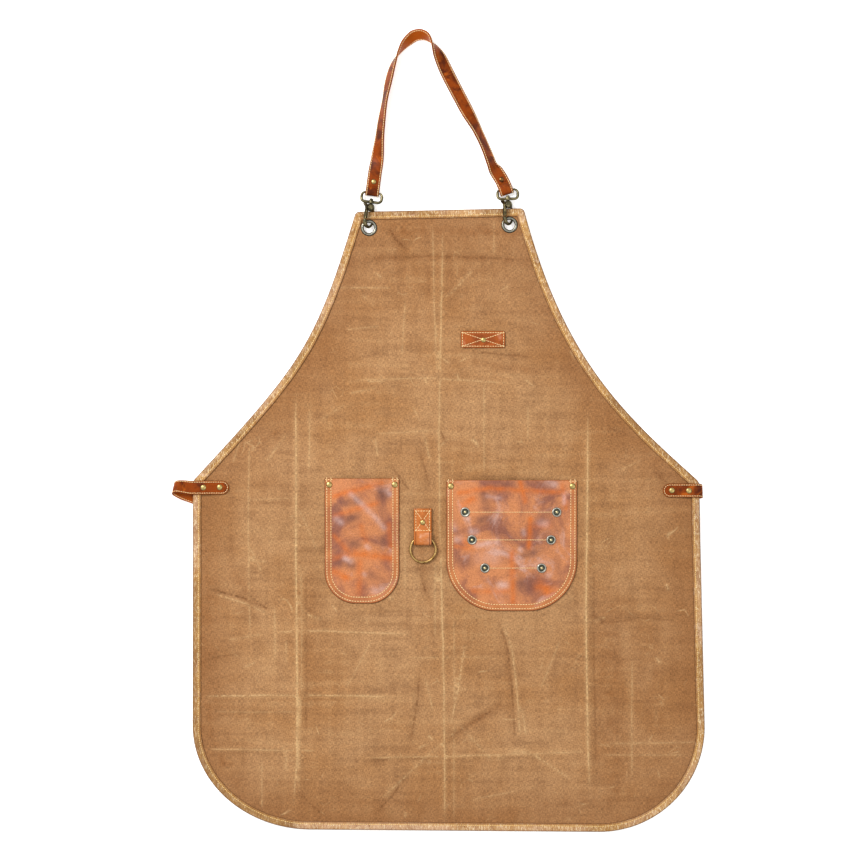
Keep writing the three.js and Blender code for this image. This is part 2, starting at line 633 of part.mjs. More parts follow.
// Neck strap: the rows between the snaps, and at each end a fold round the loop's upper bar
function eased(rows, parts) {
  const out = [];
  const columns = Object.keys(rows[0]);
  for (let i = 0; i + 1 < rows.length; i += 1) {
    const near = [-1, 0, 1, 2].map((k) => rows[THREE.MathUtils.clamp(i + k, 0, rows.length - 1)]);
    for (let k = 0; k < parts; k += 1) {
      const t = k / parts;
      out.push(Object.fromEntries(columns.map((column) => {
        const [a, b, c, d] = near.map((row) => row[column]);
        const bend = (2 * a - 5 * b + 4 * c - d) * t * t + (3 * b - a - 3 * c + d) * t ** 3;
        return [column, b + 0.5 * ((c - a) * t + bend)];
      })));
    }
  }
  return [...out, rows.at(-1)];
}

// The strap's end on a snap: its middle in plan at a distance along it from the loop's bar
function onSnap({ x, y, lean, slide, pull, bend }, along) {
  const bar = new THREE.Vector2(SNAP_SHIFT + slide, BAR_Y).rotateAround(new THREE.Vector2(), radians(lean));
  const rate = radians(bend) / NECK_TAIL;
  const start = radians(pull);
  const heading = start + rate * Math.max(along, 0);
  const straight = Math.min(along, 0);
  return {
    x: x + bar.x + (Math.cos(heading) - Math.cos(start)) / rate - straight * Math.sin(start),
    y: y + bar.y + (Math.sin(heading) - Math.sin(start)) / rate + straight * Math.cos(start),
    heading,
  };
}

// Heights of the strap's middle at a snap, from the tail's free end round the bar to the front run
const NECK_TAIL_Z = RIVET.washerT + GAP + STRAP_T / 2;
const NECK_FLAT = NECK_TAIL_Z + STRAP_T + GAP;
function snapEnd(snap, outer) {
  const turn = LOOP.wire + 1.5 * GAP + STRAP_T / 2;
  const reach = NECK_SLACK + STRAP_W / 2 * Math.tan(radians(Math.abs(snap.pull - snap.lean)));
  const flatFrom = NECK_RIVET.along - NECK_RIVET.r - 1;
  const flat = Array.from({ length: NECK_STEPS + 1 }, (_, i) =>
    THREE.MathUtils.lerp(flatFrom, NECK_TAIL - 1, i / NECK_STEPS));
  const round = Array.from({ length: FOLD_STEPS + 1 }, (_, i) => {
    const angle = -Math.PI / 2 - i * Math.PI / FOLD_STEPS;
    return { along: -reach + turn * Math.cos(angle), z: LOOP.barZ + turn * Math.sin(angle) };
  });
  const path = [
    { along: NECK_TAIL, z: NECK_TAIL_Z },
    ...flat.slice(0, -1).reverse().map((along) => ({ along, z: NECK_TAIL_Z })),
    ...round,
    { along: reach, z: LOOP.barZ + turn },
    { along: reach + NECK_CLOSE.start, z: (LOOP.barZ + turn + NECK_FLAT) / 2 + NECK_CLOSE.bulge },
    ...flat.map((along) => ({ along, z: NECK_FLAT })),
  ];
  return path.map(({ along, z }) => {
    const { x, y, heading } = onSnap(snap, along);
    return {
      middle: new THREE.Vector3(x, y, z),
      width: new THREE.Vector3(outer * Math.cos(heading), outer * Math.sin(heading), 0),
      half: STRAP_W / 2,
    };
  });
}

function neckRun() {
  const rows = eased(NECK_ROWS, NECK_PARTS);
  return rows.map(({ x, y, roll }, i) => {
    const before = rows[Math.max(i - 1, 0)];
    const after = rows[Math.min(i + 1, rows.length - 1)];
    const side = new THREE.Vector3(before.y - after.y, after.x - before.x, 0).normalize();
    const [rise, spread] = [Math.sin(radians(roll)), Math.cos(radians(roll))];
    const z = STRAP_W / 2 * Math.abs(rise) + STRAP_T / 2 * Math.abs(spread);
    const width = side.multiplyScalar(spread).add(new THREE.Vector3(0, 0, -rise));
    return { middle: new THREE.Vector3(x, y, z), width, half: STRAP_W / 2 };
  });
}

const [leftSnap, rightSnap] = SNAPS;
const neckRows = [...snapEnd(leftSnap, -1), ...neckRun(), ...snapEnd(rightSnap, 1).reverse()];
const neckRivets = SNAPS.map((snap) => {
  const { x, y } = onSnap(snap, NECK_RIVET.along);
  return { name: `neck_rivet_${snap.side}`, x, y, r: NECK_RIVET.r };
});
piece('neck_strap', geometryOf(bored(solid(ribbon(neckRows, STRAP_T)), neckRivets.map(rivetHole))), STRAP_LEATHER);
for (const place of neckRivets) {
  rivet(place.name, place, NECK_FLAT + STRAP_T / 2, NECK_TAIL_Z - STRAP_T / 2);
}

// Waist straps
const WAIST_LOW = canvasTop(WAIST_LEFT_TIP.y) + GAP + STRAP_T / 2;
const WAIST_HIGH = BINDING_H + lift(WAIST_LEFT_TIP.y) + GAP + STRAP_T / 2;
const CLASP_Z = CLASP.wall + CLASP.gap + STRAP_T / 2;

function strapRow({ x, y, z, skew = 0, roll = 0, half = STRAP_W / 2 }) {
  const [turn, rise] = [radians(skew), radians(roll)];
  const width = new THREE.Vector3(
    Math.sin(turn) * Math.cos(rise), Math.cos(turn) * Math.cos(rise), -Math.sin(rise));
  return { middle: new THREE.Vector3(x, y, z), width, half };
}

// The front run from its round tip, low on the canvas and then high over the binding
function frontRun({ x, y }, out) {
  const r = STRAP_W / 2;
  const tip = TIP_SHARES.map((share) => ({
    x: x + out * r * share, y, z: WAIST_LOW, half: r * Math.sqrt(1 - (1 - share) ** 2),
  }));
  return [
    ...tip,
    { x: x + out * WAIST_STEP.low, y, z: WAIST_LOW },
    { x: x + out * WAIST_STEP.high, y, z: WAIST_HIGH },
    { x: x + out * WAIST_STEP.edge, y, z: WAIST_HIGH },
  ];
}

// The tight turn round the right edge, from the front run to the run behind
function edgeTurn(y) {
  const middleZ = (WAIST_HIGH + STRAP_T / 2) / 2;
  const turn = WAIST_HIGH - middleZ;
  const edge = outline.find((p) => p.x > 0 && p.y < y).x - BINDING_NOSE;
  return Array.from({ length: FOLD_STEPS + 1 }, (_, i) => {
    const share = i / FOLD_STEPS;
    const angle = Math.PI * (0.5 - share);
    return {
      x: edge + turn * Math.cos(angle), y: y - EDGE_TURN.drop * share, z: middleZ + turn * Math.sin(angle),
      skew: -EDGE_TURN.skew * share,
    };
  });
}

const claspEnd = (ramp, mouth, end) => [
  { x: mouth + ramp, y: CLASP.y, z: STRAP_T / 2 },
  { x: mouth, y: CLASP.y, z: CLASP_Z },
  { x: end, y: CLASP.y, z: CLASP_Z },
];
const claspMiddle = (CLASP.left + CLASP.right) / 2;
const waistStraps = [
  {
    name: 'waist_strap_left',
    rows: [...frontRun(WAIST_LEFT_TIP, -1), ...LEFT_LOOP,
      ...claspEnd(-CLASP.ramp, CLASP.left, claspMiddle - GAP)],
  },
  {
    name: 'waist_strap_right',
    rows: [...frontRun(WAIST_RIGHT_TIP, 1), ...edgeTurn(WAIST_RIGHT_TIP.y), ...RIGHT_BACK,
      ...claspEnd(CLASP.ramp, CLASP.right, claspMiddle + GAP)],
  },
];
for (const { name, rows } of waistStraps) {
  const holes = WAIST_RIVETS.filter((place) => place.name.includes(name.split('_').at(-1))).map(rivetHole);
  const strap = solid(ribbon(rows.map(strapRow), STRAP_T));
  piece(name, geometryOf(bored(strap, holes)), STRAP_LEATHER);
}
for (const { name, x, y, step } of WAIST_RIVETS) {
  const middle = step === 'low' ? WAIST_LOW : WAIST_HIGH;
  holdWithRivet(name, { x, y, r: WAIST_RIVET_R }, middle + STRAP_T / 2);
}

function waistClasp() {
  const height = 2 * CLASP_Z;
  const sleeve = new THREE.Shape();
  const inside = new THREE.Path();
  const [w, h] = [CLASP.width / 2, height / 2];
  const [iw, ih] = [STRAP_W / 2 + GAP, STRAP_T / 2 + CLASP.gap];
  sleeve.moveTo(-w, -h).lineTo(w, -h).lineTo(w, h).lineTo(-w, h).closePath();
  inside.moveTo(-iw, -ih).lineTo(-iw, ih).lineTo(iw, ih).lineTo(iw, -ih).closePath();
  sleeve.holes.push(inside);
  const options = { depth: CLASP.right - CLASP.left, bevelEnabled: false };
  const geometry = new THREE.ExtrudeGeometry(sleeve, options).rotateX(Math.PI / 2).rotateZ(Math.PI / 2);
  return closed(geometry.translate(CLASP.left, CLASP.y, CLASP_Z));
}
piece('waist_clasp', waistClasp(), ANTIQUE_BRASS);

// Patch pockets: a flat seam on three sides, and a mouth that stands off the canvas
function pocketRows({ left, right, top, bottom, corner, crown }) {
  const arc = POCKET_ARC.map((turn) => bottom + corner * (1 - Math.cos(radians(turn))));
  const bends = LIFTS.map(({ y }) => y).filter((y) => y > bottom && y < top);
  const lines = gridLines([...arc, bottom + POCKET_FLANGE, ...bends, top], POCKET_STEP);
  return lines.map((y) => {
    const below = Math.max(0, bottom + corner - y);
    const half = (right - left) / 2 - corner + Math.sqrt(corner ** 2 - below ** 2);
    const inner = Math.max(half - POCKET_FLANGE, POCKET_SHOULDER * half);
    const open = Math.max(0, (y - bottom - POCKET_FLANGE) / (top - bottom - POCKET_FLANGE));
    const stations = [
      { off: half, rise: 0 }, { off: inner, rise: 0 }, { off: POCKET_SHOULDER * inner, rise: crown * open },
    ];
    const base = CANVAS_Z + CANVAS_T + GAP + POCKET_T;
    const across = (sign) => stations.map(({ off, rise }) =>
      onApron((left + right) / 2 + sign * off, y, base + rise));
    return [...across(-1), ...across(1).reverse()];
  });
}

// Height and normal of the grid of points at x, y
function seatOn(rows, x, y) {
  const here = new THREE.Vector3(x, y, 0);
  const flat = (p) => new THREE.Vector3(p.x, p.y, 0);
  for (let i = 0; i + 1 < rows.length; i += 1) {
    for (let j = 0; j + 1 < rows[i].length; j += 1) {
      const [a, b, c, d] = [rows[i][j], rows[i][j + 1], rows[i + 1][j + 1], rows[i + 1][j]];
      for (const corners of [[a, b, c], [a, c, d]]) {
        const share = new THREE.Triangle(...corners.map(flat)).getBarycoord(here, new THREE.Vector3());
        if (share && Math.min(share.x, share.y, share.z) >= 0) {
          const z = corners[0].z * share.x + corners[1].z * share.y + corners[2].z * share.z;
          return { z, normal: new THREE.Triangle(...corners).getNormal(new THREE.Vector3()) };
        }
      }
    }
  }
  throw new Error(`no seat at ${x}, ${y}`);
}

const pocketGrids = Object.fromEntries(POCKETS.map((shape) => [shape.name, pocketRows(shape)]));
const studs = STUD_ROWS.flatMap(({ y, left, right }, row) =>
  [['left', left], ['right', right]].map(([side, x]) => {
    const { z, normal } = seatOn(pocketGrids.pocket_large, x, y);
    const place = new THREE.Object3D();
    place.position.set(x, y, z);
    place.quaternion.setFromUnitVectors(new THREE.Vector3(0, 0, 1), normal);
    place.updateMatrix();
    return { name: `pocket_stud_${row + 1}_${side}`, place };
  }));

for (const { name, left, right, top } of POCKETS) {
  const y = top - POCKET_RIVET.drop;
  const corners = [['left', left + POCKET_RIVET.inset], ['right', right - POCKET_RIVET.inset]]
    .map(([side, x]) => ({ name: `${name}_rivet_${side}`, x, y, r: POCKET_RIVET.r }));
  let leather = bored(solid(wall(pocketGrids[name], POCKET_T)), corners.map(rivetHole));
  for (const stud of name === 'pocket_large' ? studs : []) {
    const drill = new THREE.CylinderGeometry(STUD_SHANK + GAP, STUD_SHANK + GAP, STUD_DRILL, STUD_SIDES);
    leather = leather.subtract(solid(drill.rotateX(Math.PI / 2).applyMatrix4(stud.place.matrix)));
  }
  piece(name, geometryOf(leather), POCKET_LEATHER);
  for (const place of corners) {
    holdWithRivet(place.name, place, canvasTop(y) + GAP + POCKET_T);
  }
}

for (const { name, place } of studs) {
  const mesh = piece(name, turned(STUD_PROFILE, STUD_SIDES), NICKEL);
  mesh.position.copy(place.position);
  mesh.quaternion.copy(place.quaternion);
}

// Folded tab and its ring
function ringTab() {
  const { x, width, top, seam, mouth, bend } = RING_TAB;
  const [back, front] = [GAP + TAB_T / 2, 2 * GAP + 1.5 * TAB_T];
  const wide = back + TAB_T + 2 * RING.wire + 2 * GAP;
  const turn = (wide - back) / 2;
  const round = Array.from({ length: FOLD_STEPS + 1 }, (_, i) => {
    const angle = -Math.PI / 2 - i * Math.PI / FOLD_STEPS;
    return { y: bend + turn * Math.cos(angle), z: back + turn + turn * Math.sin(angle) };
  });
  const bendY = LIFTS.map(({ y }) => y).find((y) => y < top && y > seam);
  const path = [
    { y: top - 0.5, z: back }, { y: bendY, z: back }, ...round,
    { y: mouth, z: wide }, { y: seam, z: front }, { y: bendY, z: front }, { y: top, z: front },
  ];
  return ribbon(path.map(({ y, z }) => ({
    middle: new THREE.Vector3(x, y, z + canvasTop(y)), width: new THREE.Vector3(1, 0, 0), half: width / 2,
  })), TAB_T);
}

const ringTabRivet = { x: RING_TAB.x, y: RING_TAB.rivetY, r: TAB_RIVET_R };
piece('ring_tab', geometryOf(bored(solid(ringTab()), [rivetHole(ringTabRivet)])), STRAP_LEATHER);
holdWithRivet('ring_tab_rivet', ringTabRivet, canvasTop(ringTabRivet.y) + 2 * GAP + 2 * TAB_T);
// The ring lies on the canvas at one side and on the tab's back layer at the other
const ringLow = canvasTop(RING.y - RING.radius) + GAP + RING.wire;
const ringHigh = canvasTop(RING.y + RING.radius) + 2 * GAP + TAB_T + RING.wire;
const hoop = new THREE.TorusGeometry(RING.radius, RING.wire, RING.sides, RING.steps);
const ring = piece('ring', closed(hoop), ANTIQUE_BRASS);
ring.position.set(RING.x, RING.y, (ringLow + ringHigh) / 2);
ring.rotation.x = Math.atan2(ringHigh - ringLow, 2 * RING.radius);

// Flat tab on the bib
function chestTab(rivetPlace) {
  const { left, right, bottom, top, corner } = CHEST_TAB;
  const shape = new THREE.Shape();
  shape.absarc(right - corner, bottom + corner, corner, -Math.PI / 2, 0);
  shape.absarc(right - corner, top - corner, corner, 0, Math.PI / 2);
  shape.absarc(left + corner, top - corner, corner, Math.PI / 2, Math.PI);
  shape.absarc(left + corner, bottom + corner, corner, Math.PI, 1.5 * Math.PI);
  const flat = new THREE.ExtrudeGeometry(shape, { depth: TAB_T, curveSegments: 2, bevelEnabled: false });
  flat.translate(0, 0, canvasTop(bottom) + GAP);
  return geometryOf(bored(solid(flat), [rivetHole(rivetPlace)]));
}

const chestTabRivet = { x: CHEST_TAB.rivetX, y: CHEST_TAB.rivetY, r: TAB_RIVET_R };
piece('chest_tab', chestTab(chestTabRivet), STRAP_LEATHER);
holdWithRivet('chest_tab_rivet', chestTabRivet, canvasTop(CHEST_TAB.bottom) + GAP + TAB_T);

piece('canvas_panel', canvasPanel(canvasHoles), CANVAS);

export default apron;
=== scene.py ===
# %% [markdown]
# # A waxed canvas work apron
# The apron lies on its back: one panel of waxed canvas with a leather binding, two leather patch pockets, a tab
# that holds a ring, a neck strap on two snap hooks, and waist straps that run behind it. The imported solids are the
# frame. Each cell below makes one kind of piece at the size and place of its solid, and gives it a finish.

# %% Frame and units
import math

import bmesh
import bpy
import numpy as np
from mathutils import Matrix, Vector, noise
from mathutils.geometry import delaunay_2d_cdt


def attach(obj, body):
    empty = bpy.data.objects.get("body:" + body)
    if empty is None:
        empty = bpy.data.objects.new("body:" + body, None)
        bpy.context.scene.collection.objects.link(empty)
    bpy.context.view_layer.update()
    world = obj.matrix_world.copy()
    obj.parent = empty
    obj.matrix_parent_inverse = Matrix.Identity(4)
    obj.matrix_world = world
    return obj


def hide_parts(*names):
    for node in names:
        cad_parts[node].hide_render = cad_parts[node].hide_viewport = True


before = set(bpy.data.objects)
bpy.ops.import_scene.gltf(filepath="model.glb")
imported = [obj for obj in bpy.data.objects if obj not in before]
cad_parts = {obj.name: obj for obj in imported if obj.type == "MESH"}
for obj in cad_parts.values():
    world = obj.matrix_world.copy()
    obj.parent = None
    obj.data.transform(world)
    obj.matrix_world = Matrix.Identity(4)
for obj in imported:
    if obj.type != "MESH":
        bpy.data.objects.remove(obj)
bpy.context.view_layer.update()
MM = 0.001  # every size below is in millimetres and is turned into metres when a mesh is made

# %% [markdown]
# ## Node helpers
# Materials and stitches are both made of nodes. A node is always made in the same few steps: add it, set its
# options, then fill each input with a value or a link. One helper does that, and a few more name the nodes that
# every finish needs, so that a material reads as a list of effects and not as wiring.

# %% Node helpers
def node(tree, kind, inputs=None, **options):
    made = tree.nodes.new(kind)
    for key, value in options.items():
        setattr(made, key, value)
    for key, value in (inputs or {}).items():
        if isinstance(value, bpy.types.NodeSocket):
            tree.links.new(value, made.inputs[key])
        else:
            made.inputs[key].default_value = value
    return made


def math_of(tree, operation, a, b=0.0, clamp=False):
    made = node(tree, "ShaderNodeMath", {0: a, 1: b}, operation=operation, use_clamp=clamp)
    return made.outputs[0]


def times(tree, a, b, clamp=False):
    return math_of(tree, "MULTIPLY", a, b, clamp)


def plus(tree, a, b, clamp=False):
    return math_of(tree, "ADD", a, b, clamp)


def blend(tree, factor, a, b, how="MIX"):
    made = node(tree, "ShaderNodeMix", {0: factor, 6: a, 7: b}, data_type="RGBA", blend_type=how)
    return made.outputs[2]


def between(tree, value, low, high, to_low=0.0, to_high=1.0):
    made = node(
        tree, "ShaderNodeMapRange",
        {"Value": value, "From Min": low, "From Max": high, "To Min": to_low, "To Max": to_high},
        interpolation_type="SMOOTHSTEP",
    )
    return made.outputs["Result"]


def stretched(tree, vector, scale, turn=0.0, move=(0.0, 0.0, 0.0)):
    made = node(tree, "ShaderNodeMapping", {"Vector": vector, "Scale": scale, "Location": move})
    made.inputs["Rotation"].default_value = (0.0, 0.0, math.radians(turn))
    return made.outputs["Vector"]


def cloud(tree, vector, scale, detail=3.0, rough=0.55, warp=0.0):
    made = node(
        tree, "ShaderNodeTexNoise",
        {"Vector": vector, "Scale": scale, "Detail": detail, "Roughness": rough, "Distortion": warp},
    )
    return made.outputs["Fac"]


def own(tree, name):
    return node(tree, "ShaderNodeAttribute", attribute_name=name).outputs["Fac"]


def paint(text):
    """A colour written as on a paint card, in the linear values that nodes take."""
    parts = [int(text[i:i + 2], 16) / 255 for i in (1, 3, 5)]
    return tuple(c / 12.92 if c <= 0.04045 else ((c + 0.055) / 1.055) ** 2.4 for c in parts) + (1.0,)


def tint(tree, colour, mask, tone, amount=None):
    """The colour with a tone laid over it where a mask says, up to an amount."""
    return blend(tree, mask if amount is None else times(tree, mask, amount), colour, paint(tone))


def mottle(tree, colour, pattern, deep, amount):
    """The colour made darker and lighter by a pattern, which keeps its hue."""
    return blend(tree, amount, colour, blend(tree, pattern, paint(deep), paint("#ffffff")), "OVERLAY")


print("node helpers ready")

# %% [markdown]
# ## Groups and materials
# A node group is a tree with sockets of its own, made once and then placed like any node. A material starts as a tree
# with one shader. What changes over the surface is linked to it, and what doesn't is set on the shader's own sockets.

# %% Groups and materials
def group_of(name, inputs, outputs, kind="ShaderNodeTree"):
    """An empty node group with named sockets: its tree, its inputs, and a way to set an output."""
    tree = bpy.data.node_groups.new(name, kind)
    for label, holds, value in inputs:
        made = tree.interface.new_socket(label, in_out="INPUT", socket_type=f"NodeSocket{holds}")
        if value is not None:
            made.default_value = value
    for label, holds in outputs:
        tree.interface.new_socket(label, in_out="OUTPUT", socket_type=f"NodeSocket{holds}")
    entry, leave = tree.nodes.new("NodeGroupInput"), tree.nodes.new("NodeGroupOutput")
    return tree, entry.outputs, lambda label, socket: tree.links.new(socket, leave.inputs[label])


def use(tree, group, **values):
    named = {key.replace("_", " ").capitalize(): value for key, value in values.items()}
    return node(tree, "ShaderNodeGroup", named, node_tree=group).outputs


def finish_of(name):
    """A new material: its tree, its shader and the object's own coordinates."""
    made = bpy.data.materials.new(name)
    made.use_nodes = True
    tree = made.node_tree
    where = tree.nodes.new("ShaderNodeTexCoord").outputs["Object"]
    return made, tree, tree.nodes["Principled BSDF"], where


def show(tree, shader, colour, roughness, specular=None, metallic=None):
    tree.links.new(colour, shader.inputs["Base Color"])
    tree.links.new(roughness, shader.inputs["Roughness"])
    for label, value in (("Specular IOR Level", specular), ("Metallic", metallic)):
        if value is not None:
            shader.inputs[label].default_value = value


def relief(tree, shader, height, strength, depth_mm):
    made = node(tree, "ShaderNodeBump", {"Height": height, "Strength": strength, "Distance": depth_mm * MM})
    tree.links.new(made.outputs["Normal"], shader.inputs["Normal"])


print("group and material helpers ready")

# %% [markdown]
# ## Effects that several finishes share
# Oiled leather lightens where it is bent and darkens in soft clouds, and all of it has a pebbled grain. Old metal
# is dark in its pores and bright where hands rub it. Both are used by more than one finish, so each is a shader
# group with named inputs. A group puts out colours and heights only, and the shader stays in the material.

# %% Shared effects
def leather_effect():
    tree, given, put = group_of(
        "Oiled leather",
        [("Vector", "Vector", None), ("Body", "Color", paint("#b5622f")), ("Shadow", "Color", paint("#7c4630")),
         ("Bloom", "Color", paint("#c9a596")), ("Cloud size", "Float", 30.0), ("Bloom amount", "Float", 0.5),
         ("Grain size", "Float", 900.0)],
        [("Color", "Color"), ("Roughness", "Float"), ("Height", "Float")],
    )
    where = given["Vector"]
    clouds = cloud(tree, where, given["Cloud size"], 4.0, 0.6, 0.6)
    shadow = between(tree, clouds, 0.42, 0.66)
    aside = stretched(tree, where, (1.0, 1.0, 1.0), 20.0, (3.1, 1.7, 0.0))
    bloom = between(tree, cloud(tree, aside, given["Cloud size"], 5.0, 0.62, 1.2), 0.54, 0.74)
    bloom = times(tree, bloom, given["Bloom amount"])
    fine = cloud(tree, where, given["Grain size"], 2.0, 0.6)
    cells = node(tree, "ShaderNodeTexVoronoi", {"Vector": where, "Scale": given["Grain size"]})
    grain = times(tree, cells.outputs["Distance"], fine)
    colour = blend(tree, shadow, given["Body"], given["Shadow"])
    colour = blend(tree, bloom, colour, given["Bloom"])
    colour = mottle(tree, colour, fine, "#585048", 0.35)
    put("Color", colour)
    put("Roughness", plus(tree, 0.34, times(tree, clouds, 0.25)))
    put("Height", grain)
    return tree


def metal_effect():
    tree, given, put = group_of(
        "Rubbed metal",
        [("Vector", "Vector", None), ("Bright", "Color", paint("#c9b173")), ("Dark", "Color", paint("#4a4230")),
         ("Patch size", "Float", 160.0), ("Darkness", "Float", 0.5)],
        [("Color", "Color"), ("Roughness", "Float"), ("Height", "Float")],
    )
    where = given["Vector"]
    patches = cloud(tree, where, given["Patch size"], 5.0, 0.65, 0.5)
    specks = cloud(tree, where, 1500.0, 2.0, 0.5)
    dark = between(tree, plus(tree, patches, math_of(tree, "SUBTRACT", given["Darkness"], 0.5)), 0.4, 0.62)
    put("Color", blend(tree, dark, given["Bright"], given["Dark"]))
    put("Roughness", plus(tree, 0.24, times(tree, patches, 0.3)))
    put("Height", specks)
    return tree


def web_effect():
    """Thin broken lines, as wax cracks in: edges of bent cells, shown only where a cloud lets them."""
    tree, given, put = group_of(
        "Crack lines",
        [("Vector", "Vector", None), ("Size", "Float", 12.0), ("Width", "Float", 0.02), ("Break", "Float", 0.5)],
        [("Mask", "Float")],
    )
    where = given["Vector"]
    wander = node(tree, "ShaderNodeTexNoise", {"Vector": where, "Scale": 9.0, "Detail": 3.0})
    bent = node(
        tree, "ShaderNodeVectorMath", {0: wander.outputs["Color"], 1: (0.06, 0.06, 0.0)}, operation="MULTIPLY")
    moved = node(tree, "ShaderNodeVectorMath", {0: where, 1: bent.outputs[0]}, operation="ADD")
    cells = node(
        tree, "ShaderNodeTexVoronoi", {"Vector": moved.outputs[0], "Scale": given["Size"]},
        feature="DISTANCE_TO_EDGE")
    line = math_of(tree, "DIVIDE", cells.outputs["Distance"], given["Width"])
    line = math_of(tree, "SUBTRACT", 1.0, line, clamp=True)
    shown = between(tree, cloud(tree, where, 26.0, 3.0), given["Break"], plus(tree, given["Break"], 0.14))
    put("Mask", times(tree, line, shown))
    return tree


LEATHER, METAL, CRACKS = leather_effect(), metal_effect(), web_effect()
print("groups:", [group.name for group in (LEATHER, METAL, CRACKS)])

# %% [markdown]
# ## Waxed canvas
# The cloth is a tan duck soaked in wax. Wax makes it matt. It is darker and redder towards the edges and in broad
# places, and beside and in the folds that darkening is painted shade. Every bend cracks the wax into a paler line, and
# each valley fold has a dark line of painted shade. The folds are real geometry. For their lines the mesh carries a
# distance and a strength, and the nodes draw the line, because a line is thinner than the mesh is fine. The nodes
# also add threads and faint streaks that run both ways, cloud stains and a web of small cracks.

# %% Waxed canvas
def fold_line(tree, where, name, width):
    """A thin ragged line along the folds: from the distance in mm and the strength that the mesh carries."""
    ragged = between(tree, cloud(tree, where, 210.0, 3.0, 0.65), 0.3, 0.7, -0.4, 0.4)
    line = between(tree, plus(tree, own(tree, f"{name}_off"), ragged), width, 0.1 * width)
    broken = between(tree, cloud(tree, where, 75.0, 3.0, 0.6), 0.32, 0.56, 0.4, 1.0)
    line = times(tree, line, broken)
    glow = times(tree, between(tree, own(tree, f"{name}_off"), 3.2 * width, 0.0), 0.28)
    return times(tree, math_of(tree, "MAXIMUM", line, glow), own(tree, name))


def waxed_canvas():
    made, tree, shader, where = finish_of("waxed_canvas")
    stains = cloud(tree, where, 7.0, 4.0, 0.6, 0.4)
    patches = cloud(tree, stretched(tree, where, (1.0, 1.0, 1.0), 0.0, (1.3, 0.4, 0.0)), 36.0, 5.0, 0.7)
    upright = cloud(tree, stretched(tree, where, (75.0, 7.0, 1.0)), 1.0, 3.0, 0.6)
    level = cloud(tree, stretched(tree, where, (7.0, 75.0, 1.0)), 1.0, 3.0, 0.6)
    streaks = plus(tree, level, times(tree, upright, 0.6))
    across = cloud(tree, stretched(tree, where, (240.0, 1300.0, 1.0)), 1.0, 2.0, 0.6)
    down = cloud(tree, stretched(tree, where, (1300.0, 240.0, 1.0)), 1.0, 2.0, 0.6)
    specks = cloud(tree, where, 1100.0, 2.0, 0.7)
    colour = blend(tree, between(tree, stains, 0.34, 0.66), paint("#a67c53"), paint("#9a6d43"))
    colour = tint(tree, colour, between(tree, patches, 0.44, 0.68), "#845c39", 0.4)
    colour = tint(tree, colour, between(tree, streaks, 0.82, 1.0), "#b1885c", 0.36)
    colour = tint(tree, colour, between(tree, streaks, 0.78, 0.62), "#7a5332", 0.36)
    # darker and redder tone in places; beside and in the folds this is painted shade
    colour = tint(tree, colour, own(tree, "ruddy_and_fold_shade"), "#80512a", 0.85)
    # painted shade: a dark line along each valley fold
    painted_crease_shade = times(tree, fold_line(tree, where, "dark", 3.0), 1.25, True)
    colour = tint(tree, colour, painted_crease_shade, "#6b4323")
    aside = stretched(tree, where, (1.0, 1.0, 1.0), 30.0, (0.7, 0.2, 0.0))
    fine = use(tree, CRACKS, vector=where, size=17.0, width=0.022, Break=0.57)["Mask"]
    small = use(tree, CRACKS, vector=aside, size=50.0, width=0.05, Break=0.6)["Mask"]
    cracks = plus(tree, times(tree, fine, 0.6), times(tree, small, 0.45), True)
    pale = math_of(tree, "MAXIMUM", cracks, fold_line(tree, where, "pale", 1.9))
    colour = tint(tree, colour, pale, "#c9a575", 0.85)
    weave = plus(tree, plus(tree, across, down), times(tree, specks, 0.3))
    weave = between(tree, weave, 0.82, 1.48)
    colour = mottle(tree, colour, weave, "#2f2a26", 0.4)
    show(tree, shader, colour, between(tree, stains, 0.3, 0.7, 0.62, 0.8), specular=0.15)
    relief(tree, shader, weave, 0.3, 0.4)
    return made


CANVAS = waxed_canvas()
print("made", CANVAS.name)

# %% [markdown]
# ## Leather
# Three leathers are on this apron. The binding is golden and crackled, the pockets are an oiled hide that turns
# orange where it is pulled and mauve where the oil has moved, and the straps are red-brown and smooth with a raw
# orange underside. They share one effect and differ in its colours, and each mesh carries its own masks: `edge` is
# the distance from the cut edge in millimetres, so a dark burnished edge and the dents of the seams follow it.

# %% Leather finishes
# millimetres from the cut edge to each row of stitches
POCKET_SEAMS = (3.0, 8.7)
STRAP_SEAM, BIB_SEAM, RING_SEAM = 1.9, 2.2, 3.0


def seam_dents(tree, edge, rows, half=0.9):
    """1 away from the seams and 0 in them, for seams at these distances from the edge."""
    flat = None
    for row in rows:
        away = math_of(tree, "ABSOLUTE", math_of(tree, "SUBTRACT", edge, row))
        away = between(tree, away, 0.0, half)
        flat = away if flat is None else times(tree, flat, away)
    return flat


